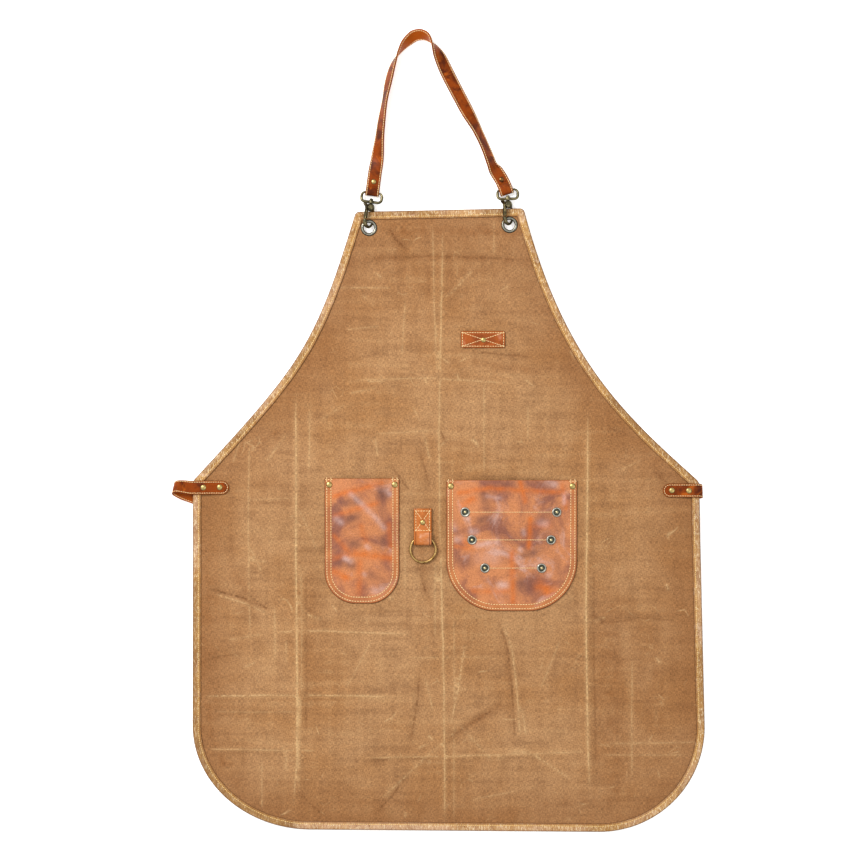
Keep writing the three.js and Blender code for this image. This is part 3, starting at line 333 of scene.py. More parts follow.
def binding_leather():
    made, tree, shader, where = finish_of("crackled_binding")
    hide = use(tree, LEATHER, vector=where, body=paint("#a97a3c"), shadow=paint("#8c5f2c"), bloom=paint("#cba98f"),
               cloud_size=42.0, bloom_amount=0.7, grain_size=650.0)
    hatch = cloud(tree, stretched(tree, where, (700.0, 190.0, 400.0), 40.0), 1.0, 3.0, 0.7, 0.8)
    edge = own(tree, "edge")
    colour = tint(tree, hide["Color"], own(tree, "rosy"), "#c29878", 0.8)
    colour = tint(tree, colour, own(tree, "shade"), "#7c5528", 0.8)
    # the fine diagonal hatch is painted light: a painted highlight on its crests and painted shade between them
    glint = times(tree, between(tree, hatch, 0.51, 0.66), between(tree, own(tree, "shade"), 0.0, 1.0, 0.8, 0.25))
    colour = tint(tree, colour, glint, "#ead4ac")
    colour = tint(tree, colour, between(tree, hatch, 0.46, 0.3), "#6f431b", 0.75)
    colour = tint(tree, colour, between(tree, edge, 8.7, 9.5), "#935f22", 0.6)
    # painted shadow: a dark line along the inner edge, where the binding steps down to the canvas
    colour = tint(tree, colour, between(tree, edge, 10.6, 11.4), "#5f3717")
    colour = tint(tree, colour, between(tree, edge, 2.0, 0.4), "#6a411c", 0.85)
    show(tree, shader, colour, hide["Roughness"], specular=0.35)
    relief(tree, shader, plus(tree, hide["Height"], hatch), 0.5, 0.6)
    return made


def pocket_leather():
    made, tree, shader, where = finish_of("oiled_pocket_hide")
    hide = use(tree, LEATHER, vector=where, body=paint("#b8764b"), shadow=paint("#85523f"), bloom=paint("#bd9a8f"),
               cloud_size=18.0, bloom_amount=0.6, grain_size=700.0)
    fine = cloud(tree, where, 520.0, 3.0, 0.7)
    edge = own(tree, "edge")
    colour = tint(tree, hide["Color"], own(tree, "plum"), "#623f37", 0.9)
    colour = tint(tree, colour, own(tree, "warm"), "#c2611a", 0.85)
    # painted sheen: pale lilac blots
    colour = tint(tree, colour, own(tree, "bloom"), "#cbb0ab", 0.62)
    colour = mottle(tree, colour, between(tree, fine, 0.3, 0.7), "#2c2a2a", 0.18)
    colour = tint(tree, colour, between(tree, edge, 11.0, 8.0), "#ae6630", 0.5)
    dents = seam_dents(tree, edge, POCKET_SEAMS)
    colour = blend(tree, dents, paint("#8c4719"), colour)
    colour = tint(tree, colour, between(tree, edge, 1.4, 0.3), "#7a3d16")
    show(tree, shader, colour, hide["Roughness"], specular=0.2)
    relief(tree, shader, plus(tree, hide["Height"], dents), 0.4, 0.4)
    return made


def strap_leather(name, body, shadow, bloom, margin, seam):
    made, tree, shader, where = finish_of(name)
    hide = use(tree, LEATHER, vector=where, body=paint(body), shadow=paint(shadow), bloom=paint(bloom),
               cloud_size=48.0, bloom_amount=0.8, grain_size=900.0)
    edge = own(tree, "edge")
    dents = seam_dents(tree, edge, (seam,), 0.8)
    colour = tint(tree, hide["Color"], between(tree, edge, seam, seam - 0.6), margin, 0.6)
    colour = blend(tree, dents, paint("#54230c"), colour)
    colour = tint(tree, colour, between(tree, edge, 0.7, 0.1), "#43200d", 0.8)
    colour = tint(tree, colour, own(tree, "under"), "#a04a08", 0.85)
    show(tree, shader, colour, math_of(tree, "SUBTRACT", hide["Roughness"], 0.08), specular=0.08)
    relief(tree, shader, plus(tree, hide["Height"], dents), 0.3, 0.35)
    return made


BINDING, POCKET = binding_leather(), pocket_leather()
STRAP = strap_leather("smooth_strap_hide", "#7f3709", "#4a1c08", "#ad5614", "#9a4b0b", STRAP_SEAM)
BIB_TAB = strap_leather("bib_tab_hide", "#9a4f22", "#74391a", "#b97a5a", "#a55520", BIB_SEAM)
RING_HIDE = strap_leather("ring_tab_hide", "#b86c38", "#9c5829", "#d09c7c", "#b3642a", RING_SEAM)
print("made", [made.name for made in (BINDING, POCKET, STRAP, BIB_TAB, RING_HIDE)])

# %% [markdown]
# ## Metal and thread
# The hooks, ring and rivets are brass that was blackened and then rubbed, each to its own tone: the levers are the
# darkest. One rivet, where the neck strap twists at the right hook, is painted dark brown: painted shade. The studs
# and grommets are a greyer metal, with rings of other tones drawn by the distance from their axis. Thread is waxed
# cotton: pale, a little uneven.

# %% Metal and thread finishes
def metal(name, bright, dark, darkness, patch_size=160.0):
    made, tree, shader, where = finish_of(name)
    worn = use(tree, METAL, vector=where, bright=paint(bright), dark=paint(dark), darkness=darkness,
               patch_size=patch_size)
    show(tree, shader, worn["Color"], worn["Roughness"], metallic=1.0)
    relief(tree, shader, worn["Height"], 0.12, 0.2)
    return made


def ringed_metal(name, bright, dark, rings):
    """A worn metal with rings of other tones about a turned piece's axis: from and to in mm, and a tone."""
    made, tree, shader, where = finish_of(name)
    worn = use(tree, METAL, vector=where, bright=paint(bright), dark=paint(dark), darkness=0.42, patch_size=420.0)
    colour, away = worn["Color"], own(tree, "round")
    for low, high, tone in rings:
        mask = times(tree, between(tree, away, low - 0.3, low + 0.3), between(tree, away, high + 0.3, high - 0.3))
        colour = tint(tree, colour, mask, tone)
    show(tree, shader, colour, worn["Roughness"], metallic=1.0)
    relief(tree, shader, worn["Height"], 0.1, 0.2)
    return made


def waxed_thread(name, deep, light):
    made, tree, shader, where = finish_of(name)
    uneven = cloud(tree, where, 420.0, 3.0)
    colour = blend(tree, uneven, paint(deep), paint(light))
    show(tree, shader, colour, between(tree, uneven, 0.3, 0.7, 0.5, 0.75), specular=0.15)
    relief(tree, shader, cloud(tree, where, 2600.0, 1.0), 0.4, 0.2)
    return made


BRASS = metal("blackened_brass", "#857a5a", "#464231", 0.5, 130.0)
LEVER_BRASS = metal("dark_lever_brass", "#6b5f40", "#393324", 0.55, 160.0)
RING_BRASS = metal("ring_brass", "#bf9c62", "#755628", 0.45, 110.0)
RIVET_BRASS = metal("rivet_brass", "#b9a267", "#7d6838", 0.42, 400.0)
# painted shade: the dark brown of the rivet where the neck strap twists
SHADED_RIVET_BRASS = metal("shaded_rivet_brass", "#7d5a35", "#4c2f1a", 0.5, 400.0)
GROMMET = ringed_metal("grommet_metal", "#8b887b", "#5d5a50", ((10.3, 13.0, "#312e27"), (6.0, 8.0, "#37342c")))
STUD_METAL = ringed_metal("stud_metal", "#a9a69a", "#716e63", ((2.2, 4.8, "#3f4238"), (-1.0, 1.9, "#d8c795")))
THREAD = waxed_thread("waxed_thread", "#dcae6c", "#fbe3b2")
GOLD_THREAD = waxed_thread("golden_thread", "#d49d45", "#ffe2a2")
METALS = (BRASS, LEVER_BRASS, RING_BRASS, RIVET_BRASS, SHADED_RIVET_BRASS, GROMMET, STUD_METAL)
print("made", [made.name for made in METALS + (THREAD, GOLD_THREAD)])

# %% [markdown]
# ## Mesh helpers
# Points are made as arrays in millimetres. One function turns them into an object with its place in its vertices,
# shades it smooth except at real edges, and stores the masks that the finishes read.

# %% Mesh helpers
def unit(vectors):
    vectors = np.asarray(vectors, float)
    return vectors / np.linalg.norm(vectors, axis=-1, keepdims=True)


def smooth(low, high, value):
    t = np.clip((np.asarray(value, float) - low) / (high - low), 0.0, 1.0)
    return t * t * (3.0 - 2.0 * t)


def in_scene(name, data):
    made = bpy.data.objects.new(name, data)
    bpy.context.collection.objects.link(made)
    return made


def closed_mesh(name, points, faces):
    """A mesh of these faces, all turned outwards."""
    mesh = bpy.data.meshes.new(name)
    mesh.from_pydata(np.asarray(points, float).tolist(), [], faces)
    whole = bmesh.new()
    whole.from_mesh(mesh)
    bmesh.ops.recalc_face_normals(whole, faces=whole.faces)
    whole.to_mesh(mesh)
    whole.free()
    return mesh


def build(name, points, faces, material, masks=None, sharp=40.0):
    """A piece from points in millimetres, with its masks; edges sharper than an angle in degrees stay sharp."""
    mesh = closed_mesh(name, np.asarray(points, float) * MM, faces)
    mesh.shade_smooth()
    mesh.set_sharp_from_angle(angle=math.radians(sharp))
    for label, values in (masks or {}).items():
        mask = mesh.attributes.new(label, "FLOAT", "POINT")
        mask.data.foreach_set("value", np.asarray(values, float).ravel())
    mesh.materials.append(material)
    return in_scene(name, mesh)


print("mesh builder ready")

# %% [markdown]
# ## Skins, wires and turned bodies
# Almost everything here is a closed skin: through a row of loops, along a wire, or round an axis. Each shape is points
# and faces, so that shapes can be joined and moved before one object is built.

# %% Skins, wires and turned bodies
def skin(loops, joined=False):
    """The closed body through a row of matching loops, which may join up with itself."""
    loops = np.asarray(loops, float)
    count, ring = loops.shape[:2]
    faces = []
    for i in range(count if joined else count - 1):
        a, b = i * ring, (i + 1) % count * ring
        faces += [(a + j, a + (j + 1) % ring, b + (j + 1) % ring, b + j) for j in range(ring)]
    if not joined:
        faces += [tuple(range(ring)), tuple(range((count - 1) * ring, count * ring))]
    return loops.reshape(-1, 3), faces


def wire(path, radius, sides=14, joined=False):
    """A round wire along a path that lies in the plane of X and Y; radius may change along it."""
    path = np.asarray(path, float)
    run = np.roll(path, -1, 0) - np.roll(path, 1, 0) if joined else np.gradient(path, axis=0)
    side = unit(np.cross(unit(run), (0.0, 0.0, 1.0)))
    turn = np.linspace(0.0, 2 * math.pi, sides, endpoint=False)
    ring = np.cos(turn)[None, :, None] * side[:, None, :] + np.sin(turn)[None, :, None] * np.array((0.0, 0.0, 1.0))
    radius = np.broadcast_to(np.asarray(radius, float), len(path))
    return skin(path[:, None, :] + radius[:, None, None] * ring, joined)


def turned(profile, sides=32, joined=False):
    """A round body about Z from (radius, height) points; a radius of 0 is one point on the axis."""
    points, rings, faces = [], [], []
    for r, z in profile:
        start = len(points)
        if r == 0:
            points.append((0.0, 0.0, z))
            rings.append([start] * sides)
        else:
            turns = [2 * math.pi * k / sides for k in range(sides)]
            points += [(r * math.cos(t), r * math.sin(t), z) for t in turns]
            rings.append(list(range(start, start + sides)))
    pairs = list(zip(rings, rings[1:])) + ([(rings[-1], rings[0])] if joined else [])
    for a, b in pairs:
        for j in range(sides):
            k = (j + 1) % sides
            face = tuple(dict.fromkeys((a[j], a[k], b[k], b[j])))
            if len(face) > 2:
                faces.append(face)
    return np.array(points), faces


def together(*bodies):
    points, faces, start = [], [], 0
    for some, shape in bodies:
        points.append(np.asarray(some, float))
        faces += [tuple(i + start for i in face) for face in shape]
        start += len(some)
    return np.concatenate(points), faces


def moved(body, matrix):
    points, faces = body
    grid = np.array(matrix)
    return np.asarray(points, float) @ grid[:3, :3].T + grid[:3, 3], faces


def resampled(points, step):
    """The same path with points at even steps."""
    points = np.asarray(points, float)
    s = np.concatenate([[0.0], np.cumsum(np.linalg.norm(np.diff(points, axis=0), axis=1))])
    even = np.linspace(0.0, s[-1], max(2, int(round(s[-1] / step)) + 1))
    return np.stack([np.interp(even, s, column) for column in points.T], axis=1)


def place(made, slot, *nodes, body="apron"):
    """A finished piece: it rides a body and stands for these solids. The slot is not used."""
    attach(made, body)
    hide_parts(*nodes)
    return made


print("mesh helpers ready")

# %% [markdown]
# ## Outline and lie
# The panel has a straight bib, two hollow sides, square waist corners and round hem corners. Four strips of binding
# go round it and meet at the corners. The strap and the hooks beneath hold the cloth off the table in two
# low waves, so the height of everything on the apron starts with the same function of Y.

# %% Outline and lie
WALL = {"gap": 0.3, "canvas": 1.2, "strap": 2.2, "pocket": 1.8, "tab": 1.8}
BAND = {"width": 11.5, "height": 4.5, "wall": 1.2, "seam": 8.0, "corner": 5.0, "step": 3.0}
CANVAS_LOW = 1.65
CANVAS_TOP = CANVAS_LOW + WALL["canvas"]
# how far the apron is held off the table, along Y
LIFT_Y = (-620.0, -160.0, -114.0, -60.0, -14.0, 200.0, 262.0, 360.0)
LIFT_Z = (0.0, 0.0, 3.0, 3.0, 0.0, 0.0, 3.7, 3.7)
BIB_LEFT, BIB_RIGHT = (-115.5, 303.0), (117.5, 308.0)
WAIST_LEFT, WAIST_RIGHT = (-342.0, -71.0), (361.5, -72.0)


def lift(y):
    y = np.asarray(y, float)
    i = np.clip(np.searchsorted(LIFT_Y, y, side="right") - 1, 0, len(LIFT_Y) - 2)
    low, high = np.take(LIFT_Y, i), np.take(LIFT_Y, i + 1)
    start, rise = np.take(LIFT_Z, i), np.take(LIFT_Z, i + 1) - np.take(LIFT_Z, i)
    return start + rise * smooth(0.0, 1.0, (y - low) / (high - low))


def cloth_top(y):
    return CANVAS_TOP + lift(y)


def arm(top, waist, side, top_turn, top_reach, waist_turn, waist_reach):
    a, d = np.array(top), np.array(waist)
    up, down = math.radians(top_turn), math.radians(waist_turn)
    b = a + top_reach * np.array((side * math.sin(up), -math.cos(up)))
    c = d + waist_reach * np.array((-side * math.sin(down), math.cos(down)))
    t = np.linspace(0.0, 1.0, 160)[:, None]
    return a * (1 - t) ** 3 + 3 * b * t * (1 - t) ** 2 + 3 * c * t ** 2 * (1 - t) + d * t ** 3


def hem_corner(x, y, across, up, start):
    turn = np.radians(np.linspace(start, start - 90.0, 60))
    return np.stack([x + across * np.cos(turn), y + up * np.sin(turn)], axis=1)


strips = [
    np.array([BIB_LEFT, BIB_RIGHT]),
    arm(BIB_RIGHT, WAIST_RIGHT, 1, 15.0, 215.0, 48.0, 150.0),
    np.concatenate([[WAIST_RIGHT], hem_corner(223.0, -412.8, 146.5, 146.0, 0.0),
                    hem_corner(-177.5, -411.0, 165.0, 144.5, -90.0), [WAIST_LEFT]]),
    arm(BIB_LEFT, WAIST_LEFT, -1, 17.0, 200.0, 42.6, 220.0)[::-1],
]
strips = [resampled(strip, BAND["step"]) for strip in strips]
print("edge length:", round(sum(len(strip) - 1 for strip in strips) * BAND["step"]), "mm")

# %% [markdown]
# The corners are cut round by a few millimetres. A strip of even width can't simply be pushed inwards there,
# because its inner edge would cross itself, so near a corner all ways in lead to the one inner corner point.

# %% Stations round the edge
def rounded(strips):
    """For each strip, points on the edge and the way in from each, for a distance of 1 mm."""
    cut, width = BAND["corner"], BAND["width"]
    out = [{"edge": strip.copy(), "goal": np.full(strip.shape, np.nan)} for strip in strips]
    for k in range(4):
        here, after = out[k], out[(k + 1) % 4]
        corner = strips[k][-1]
        a, b = unit(strips[k][-4] - corner), unit(strips[(k + 1) % 4][3] - corner)
        half = math.acos(float(a @ b)) / 2
        inner = corner + unit(a + b) * width / math.sin(half)
        foot = width / math.tan(half)
        for part, last, way, shares in ((here, True, a, np.linspace(0.0, 0.485, 7)),
                                        (after, False, b, np.linspace(0.515, 1.0, 7))):
            away = np.linalg.norm(part["edge"] - corner, axis=1)
            keep = away > cut + 0.5
            edge, goal = part["edge"][keep], part["goal"][keep]
            goal[away[keep] < foot] = inner
            t = shares[:, None]
            bend = (corner + cut * a) * (1 - t) ** 2 + corner * 2 * t * (1 - t) + (corner + cut * b) * t ** 2
            aims = np.repeat(inner[None, :], len(bend), 0)
            pieces = ((edge, bend), (goal, aims)) if last else ((bend, edge), (aims, goal))
            part["edge"], part["goal"] = (np.concatenate(pair) for pair in pieces)
    for part in out:
        run = unit(np.gradient(part["edge"], axis=0))
        way = np.stack([run[:, 1], -run[:, 0]], axis=1)
        fixed = ~np.isnan(part["goal"][:, 0])
        way[fixed] = (part["goal"][fixed] - part["edge"][fixed]) / width
        part["way"] = way
    return out


bands = rounded(strips)
EDGE = np.concatenate([band["edge"] for band in bands])
WAY = np.concatenate([band["way"] for band in bands])
print("stations:", [len(band["edge"]) for band in bands])

# %% [markdown]
# ## Marks over the plan
# Worn leather and waxed cloth differ from place to place: a strip has faded here, a fold has cracked there. Such
# marks are lines over a plan of the apron, seen from above. A plan unit is 1.39 mm, and the plan's corner is at the
# top left. Each line gives a soft stroke, and the mesh carries the strokes as masks for its finish.

# %% Marks over the plan
PLAN_UNIT = 1.39  # millimetres
PLAN_CENTRE = (439.0, 430.0)  # the apron's origin, in plan units


def wobble(points, size, seed):
    """Slow noise at plan points, about -1 to 1."""
    return np.array([noise.noise((x / size, y / size, seed)) for x, y in np.asarray(points)[:, :2]])


def spot(points):
    """Plan points as millimetres from the apron's origin."""
    points = np.asarray(points, float)
    return np.stack([(points[..., 0] - PLAN_CENTRE[0]), (PLAN_CENTRE[1] - points[..., 1])], axis=-1) * PLAN_UNIT


def beside(points, line):
    """Distance of each point from a line, and its share of the way along it."""
    lengths = np.linalg.norm(np.diff(line, axis=0), axis=1)
    starts = np.concatenate([[0.0], np.cumsum(lengths)])
    nearest = np.full(len(points), np.inf)
    share = np.zeros(len(points))
    for a, b, start, length in zip(line, line[1:], starts, lengths):
        t = np.clip((points - a) @ (b - a) / length ** 2, 0.0, 1.0)
        away = np.linalg.norm(points - a - t[:, None] * (b - a), axis=1)
        share = np.where(away < nearest, (start + t * length) / starts[-1], share)
        nearest = np.minimum(nearest, away)
    return nearest, share


def strokes(points, rows):
    """A mask of soft strokes: lines over the plan, with a half width in plan units and a strength."""
    mask = np.zeros(len(points))
    rough = 0.8 + 0.5 * wobble(points, 9.0, 6.0)
    for line, half, amount in rows:
        off, _ = beside(points, spot(line))
        mask = np.maximum(mask, amount * rough * np.exp(-(off / (half * PLAN_UNIT)) ** 2))
    return np.clip(mask, 0.0, 1.0)


print("plan unit:", PLAN_UNIT, "mm")

# %% [markdown]
# ## Leather binding
# Binding is a strip folded over the raw edge and sewn through both halves. It is made as one section, a narrow U with
# a round nose and a shallow dent for the seam, carried round the outline. A little slow noise in its width and height
# keeps it from looking moulded, and strokes say where it has darkened or faded.

# %% Leather binding
def band_section():
    w, h, wall, seam = BAND["width"], BAND["height"], BAND["wall"], BAND["seam"]
    nose = [(3.0, 0.0), (1.4, 0.12), (0.5, 0.55), (0.1, 1.35), (0.0, h / 2)]
    outer = [(w - 0.5, 0.0)] + nose + [(d, h - z) for d, z in nose[-2::-1]]
    outer += [(seam - 1.1, h), (seam, h - 0.3), (seam + 1.1, h), (w - 0.8, h - 0.02), (w - 0.2, h - 0.25), (w, h - 0.7)]
    inner = [(w, h - wall), (4.0, h - wall), (1.9, h - wall - 0.1), (1.6, h / 2),
             (1.9, wall + 0.1), (4.0, wall), (w, wall)]
    return np.array(outer + inner + [(w, 0.4)])


# paths of stitches, each with the way up along it
seams = {"binding": [], "pocket": [], "strap": [], "tab": [], "stud": []}
UNSEWN = 9  # stations at each end of a strip that carry no stitches


def binding(name, band, node_name):
    section = band_section()
    edge, way = band["edge"], band["way"]
    wide = 1.0 + 0.03 * wobble(edge, 23.0, 1.0)
    tall = 0.16 * wobble(edge, 17.0, 2.0)
    loops = np.empty((len(edge), len(section), 3))
    plan = edge[:, None, :] + way[:, None, :] * section[None, :, :1] * wide[:, None, None]
    loops[..., :2] = plan
    loops[..., 2] = section[None, :, 1] + lift(plan[..., 1]) + tall[:, None] * (section[None, :, 1] > 2.0)
    points, faces = skin(loops)
    sewn = edge + way * (BAND["seam"] * wide)[:, None]
    sewn = np.column_stack([sewn, BAND["height"] - 0.1 + lift(sewn[:, 1]) + tall])[UNSEWN:-UNSEWN]
    seams["binding"].append((sewn, np.tile((0.0, 0.0, 1.0), (len(sewn), 1))))
    masks = {"edge": np.tile(section[:, 0], len(edge))}
    masks |= {kind: strokes(points[:, :2], rows) for kind, rows in BAND_MARKS.items()}
    return place(build(name, points, faces, BINDING, masks), "binding_leather", node_name)


# where the binding has darkened, and where it has faded: line over the plan, half width in plan units, strength
BAND_MARKS = {
    "shade": [
        ([(193, 585), (193, 720), (205, 770), (235, 805), (290, 824)], 8.0, 0.9),
        ([(370, 213), (430, 212)], 6.0, 0.55), ([(485, 212), (505, 211)], 5.0, 0.5),
        ([(697, 490), (699, 550)], 6.0, 0.4), ([(701, 650), (701, 700)], 6.0, 0.5),
        ([(612, 398), (640, 430), (692, 472)], 6.0, 0.75), ([(332, 312), (290, 376)], 6.0, 0.55),
        ([(590, 830), (620, 826)], 6.0, 0.5), ([(214, 462), (246, 430)], 6.0, 0.4),
    ],
    "rosy": [
        ([(300, 825), (445, 828)], 8.0, 1.0), ([(445, 828), (585, 831)], 8.0, 0.55),
        ([(630, 822), (690, 770)], 8.0, 0.75), ([(345, 270), (320, 325)], 6.0, 0.7),
        ([(280, 385), (262, 408)], 6.0, 0.5), ([(440, 212), (480, 212)], 5.0, 0.5),
        ([(550, 290), (590, 370)], 6.0, 0.3), ([(699, 505), (701, 640)], 6.0, 0.5),
        ([(195, 500), (195, 565)], 6.0, 0.6),
    ],
}
BAND_NAMES = ("top", "arm_right", "skirt", "arm_left")
made_bands = [binding(f"{name}_binding", band, f"binding_{name}") for name, band in zip(BAND_NAMES, bands)]
print("binding:", [(made.name, len(made.data.polygons)) for made in made_bands])

# %% [markdown]
# ## Folds in the canvas
# Waxed cloth remembers how it was folded. Three long folds run down the panel and several across it, with short
# creases between them. Each is a line drawn over a plan of the apron, with how far it rises, and how strong its
# line is: pale wax on a ridge, and a dark line of painted shade in a valley.

# %% Folds in the canvas
def fold(line, rise, tone):
    """A fold along a line, with how far it rises; the wax is pale on a ridge, and a valley gets a dark line of painted
    shade.
    """
    # a valley's dark line is painted shade
    pale, dark = (tone, 0.0) if rise >= 0.0 else (0.0, tone)
    path = resampled(spot(line), 9.0)
    path = path + 0.7 * np.column_stack([wobble(path, 35.0, 7.0), wobble(path, 35.0, 8.0)])
    return {"line": path, "rise": rise, "half": 2.2 + 1.7 * abs(rise), "pale": pale, "dark": dark}


# line over the plan, rise in millimetres, strength of the line: pale wax on a ridge, painted shade in a valley
LONG_FOLDS = [
    ([(296, 385), (296, 470), (296, 560), (297, 650), (297, 760), (293, 812)], 1.3, 0.85),
    ([(302, 560), (302, 640), (301, 720), (299, 800)], 0.9, 0.3), ([(433, 222), (434, 300), (437, 380)], 0.8, 0.4),
    ([(443, 222), (441, 330), (439, 430), (440, 560)], 1.0, 0.55), ([(440, 520), (444, 690), (445, 826)], 1.0, 0.75),
    ([(588, 405), (587, 520), (586, 610), (587, 700), (588, 750), (590, 800)], 1.7, 0.95),
    ([(594, 560), (594, 650), (596, 780)], -0.7, 0.35), ([(306, 570), (307, 650), (306, 740)], -0.5, 0.25),
]
CROSS_FOLDS = [
    ([(360, 259), (440, 256), (530, 260)], -0.8, 0.35), ([(337, 288), (393, 288)], 0.5, 0.35),
    ([(475, 352), (530, 357)], -0.7, 0.45), ([(350, 380), (430, 378), (520, 384)], 0.7, 0.4),
    ([(373, 434), (440, 430)], 0.5, 0.3), ([(270, 632), (320, 631), (412, 634)], 0.9, 0.5),
    ([(200, 696), (310, 695), (403, 697)], 0.9, 0.65), ([(205, 749), (320, 751)], 0.7, 0.45),
    ([(360, 758), (460, 756), (590, 752)], 0.8, 0.45), ([(367, 760), (430, 759)], -0.7, 0.55),
    ([(604, 744), (700, 742)], 0.4, 0.3),
]
SHORT_CREASES = [
    ([(388, 227), (396, 240), (407, 250)], -0.6, 0.7), ([(447, 297), (473, 270)], 0.5, 0.45),
    ([(320, 420), (347, 403)], 0.5, 0.4), ([(207, 588), (250, 600), (272, 611)], -0.7, 0.6),
    ([(215, 594), (247, 604), (272, 616)], 0.6, 0.5), ([(297, 593), (303, 613), (323, 620)], 0.6, 0.55),
    ([(306, 606), (330, 628)], -0.4, 0.4), ([(203, 660), (243, 653)], -0.6, 0.4),
    ([(300, 510), (317, 550)], 0.5, 0.35), ([(417, 560), (427, 597)], -0.5, 0.5),
    ([(420, 673), (416, 710), (410, 747)], -0.5, 0.5), ([(425, 677), (433, 712)], 0.5, 0.4),
    ([(380, 800), (420, 763), (460, 727)], 0.6, 0.45), ([(373, 817), (393, 795), (413, 767)], -0.6, 0.5),
    ([(297, 790), (310, 804), (327, 817)], -0.5, 0.45), ([(497, 617), (507, 647), (512, 687), (515, 743)], -0.8, 0.5),
    ([(502, 622), (512, 650), (517, 690), (520, 740)], 0.7, 0.55), ([(522, 707), (526, 736)], 0.5, 0.5),
    ([(465, 643), (457, 697), (450, 727)], 0.6, 0.55), ([(447, 740), (470, 724), (497, 707)], -0.8, 0.6),
    ([(457, 723), (475, 742), (493, 762)], 0.4, 0.4), ([(493, 762), (517, 750), (530, 753), (573, 780)], 0.5, 0.5),
    ([(590, 613), (606, 624)], -0.5, 0.6), ([(592, 622), (606, 617)], 0.4, 0.5),
    ([(653, 470), (667, 483)], -0.4, 0.5), ([(595, 625), (640, 618), (690, 622)], -0.4, 0.3),
    ([(390, 466), (400, 477), (409, 490)], -0.5, 0.5), ([(420, 453), (425, 470), (430, 488)], -0.4, 0.4),
    ([(440, 430), (447, 444)], -0.4, 0.5), ([(607, 427), (627, 435)], -0.4, 0.35),
    ([(423, 433), (427, 446), (430, 462)], 0.4, 0.5), ([(265, 463), (275, 450), (287, 433)], 0.4, 0.45),
]
# lines that only show in the wax
FADED = [
    ([(250, 430), (248, 520), (250, 645)], 0.35), ([(275, 605), (275, 660)], 0.4), ([(286, 640), (286, 664)], 0.35),
    ([(262, 760), (262, 810)], 0.35), ([(310, 407), (309, 473)], 0.4), ([(484, 377), (484, 477)], 0.4),
    ([(494, 220), (494, 255)], 0.3), ([(528, 403), (528, 443)], 0.35), ([(632, 655), (632, 780)], 0.35),
    ([(454, 600), (454, 830)], 0.3), ([(435, 560), (435, 640)], 0.35), ([(407, 658), (495, 657)], 0.3),
    ([(213, 712), (300, 712)], 0.25), ([(405, 520), (405, 590)], 0.3), ([(250, 500), (292, 498)], 0.25),
    ([(600, 755), (690, 755)], 0.25), ([(655, 656), (661, 664)], 0.6), ([(659, 700), (664, 707)], 0.6),
    ([(666, 583), (669, 591)], 0.6), ([(374, 272), (382, 278)], 0.5), ([(360, 295), (368, 299)], 0.5),
    ([(440, 357), (450, 363)], 0.5), ([(428, 735), (434, 741)], 0.8), ([(388, 596), (394, 600)], 0.7),
    ([(560, 300), (575, 330)], 0.3), ([(345, 330), (380, 326)], 0.3), ([(405, 300), (402, 360)], 0.3),
    ([(540, 690), (560, 640)], 0.3), ([(470, 800), (520, 790)], 0.3), ([(345, 690), (372, 640)], 0.3),
    ([(434, 350), (441, 367)], 0.7), ([(425, 384), (433, 377)], 0.6), ([(380, 374), (384, 382)], 0.5),
    ([(350, 393), (377, 388)], 0.35), ([(375, 437), (378, 456)], 0.4), ([(240, 440), (233, 463)], 0.35),
    ([(248, 560), (268, 562)], 0.4), ([(250, 547), (262, 573)], 0.35), ([(620, 470), (641, 460)], 0.3),
    ([(455, 372), (460, 379)], 0.5), ([(525, 379), (536, 388)], 0.4), ([(500, 291), (509, 286)], 0.5),
    ([(228, 640), (262, 634)], 0.4), ([(243, 668), (256, 662)], 0.4), ([(284, 745), (287, 762)], 0.4),
]
FOLDS = [fold(*row) for row in LONG_FOLDS + CROSS_FOLDS + SHORT_CREASES]
FOLDS += [fold(line, 0.0, tone) for line, tone in FADED]
# places where the wax is darker and redder, its own tone in some and painted shade beside and in the folds: line, half
# width in plan units, strength
RUDDY_AND_FOLD_SHADE = [
    ([(612, 610), (615, 790)], 20.0, 0.66), ([(650, 640), (655, 760)], 30.0, 0.5),
    ([(260, 800), (600, 812)], 18.0, 0.5), ([(310, 560), (315, 700)], 9.0, 0.25),
    ([(258, 490), (305, 500)], 32.0, 0.32), ([(625, 400), (665, 475)], 16.0, 0.8),
    ([(206, 560), (208, 740), (240, 790)], 14.0, 0.8), ([(390, 228), (399, 243), (416, 262)], 4.0, 0.7),
    ([(447, 740), (497, 707)], 5.0, 0.5), ([(505, 640), (512, 740)], 3.5, 0.3), ([(345, 300), (380, 240)], 12.0, 0.5),
    ([(560, 320), (590, 400)], 14.0, 0.5), ([(420, 540), (428, 600)], 4.0, 0.5),
    ([(350, 255), (560, 258)], 62.0, 0.5), ([(385, 230), (460, 231), (540, 235)], 13.0, 0.9),
    ([(355, 258), (440, 257), (550, 260)], 4.5, 0.8), ([(440, 270), (530, 272)], 7.0, 0.4),
    ([(470, 340), (500, 350)], 12.0, 0.45), ([(335, 305), (420, 308)], 4.0, 0.4),
    ([(235, 455), (280, 432)], 12.0, 0.7), ([(236, 575), (250, 606)], 10.0, 0.6),
    ([(694, 470), (698, 560)], 9.0, 0.6), ([(694, 640), (690, 780)], 9.0, 0.6), ([(540, 806), (650, 795)], 14.0, 0.6),
    ([(475, 362), (540, 372)], 4.0, 0.5),
]
print("folds:", len(FOLDS))

# %% [markdown]
# ## Shape of the cloth
# The sheet lies flat under the pockets, tabs and straps that are sewn or riveted on it, so their places come first.
# Elsewhere its height is slow noise and the sum of the folds. The same function finds how far each point is from the
# nearest pale and dark fold, for the pale lines in the wax and the dark lines of painted shade.

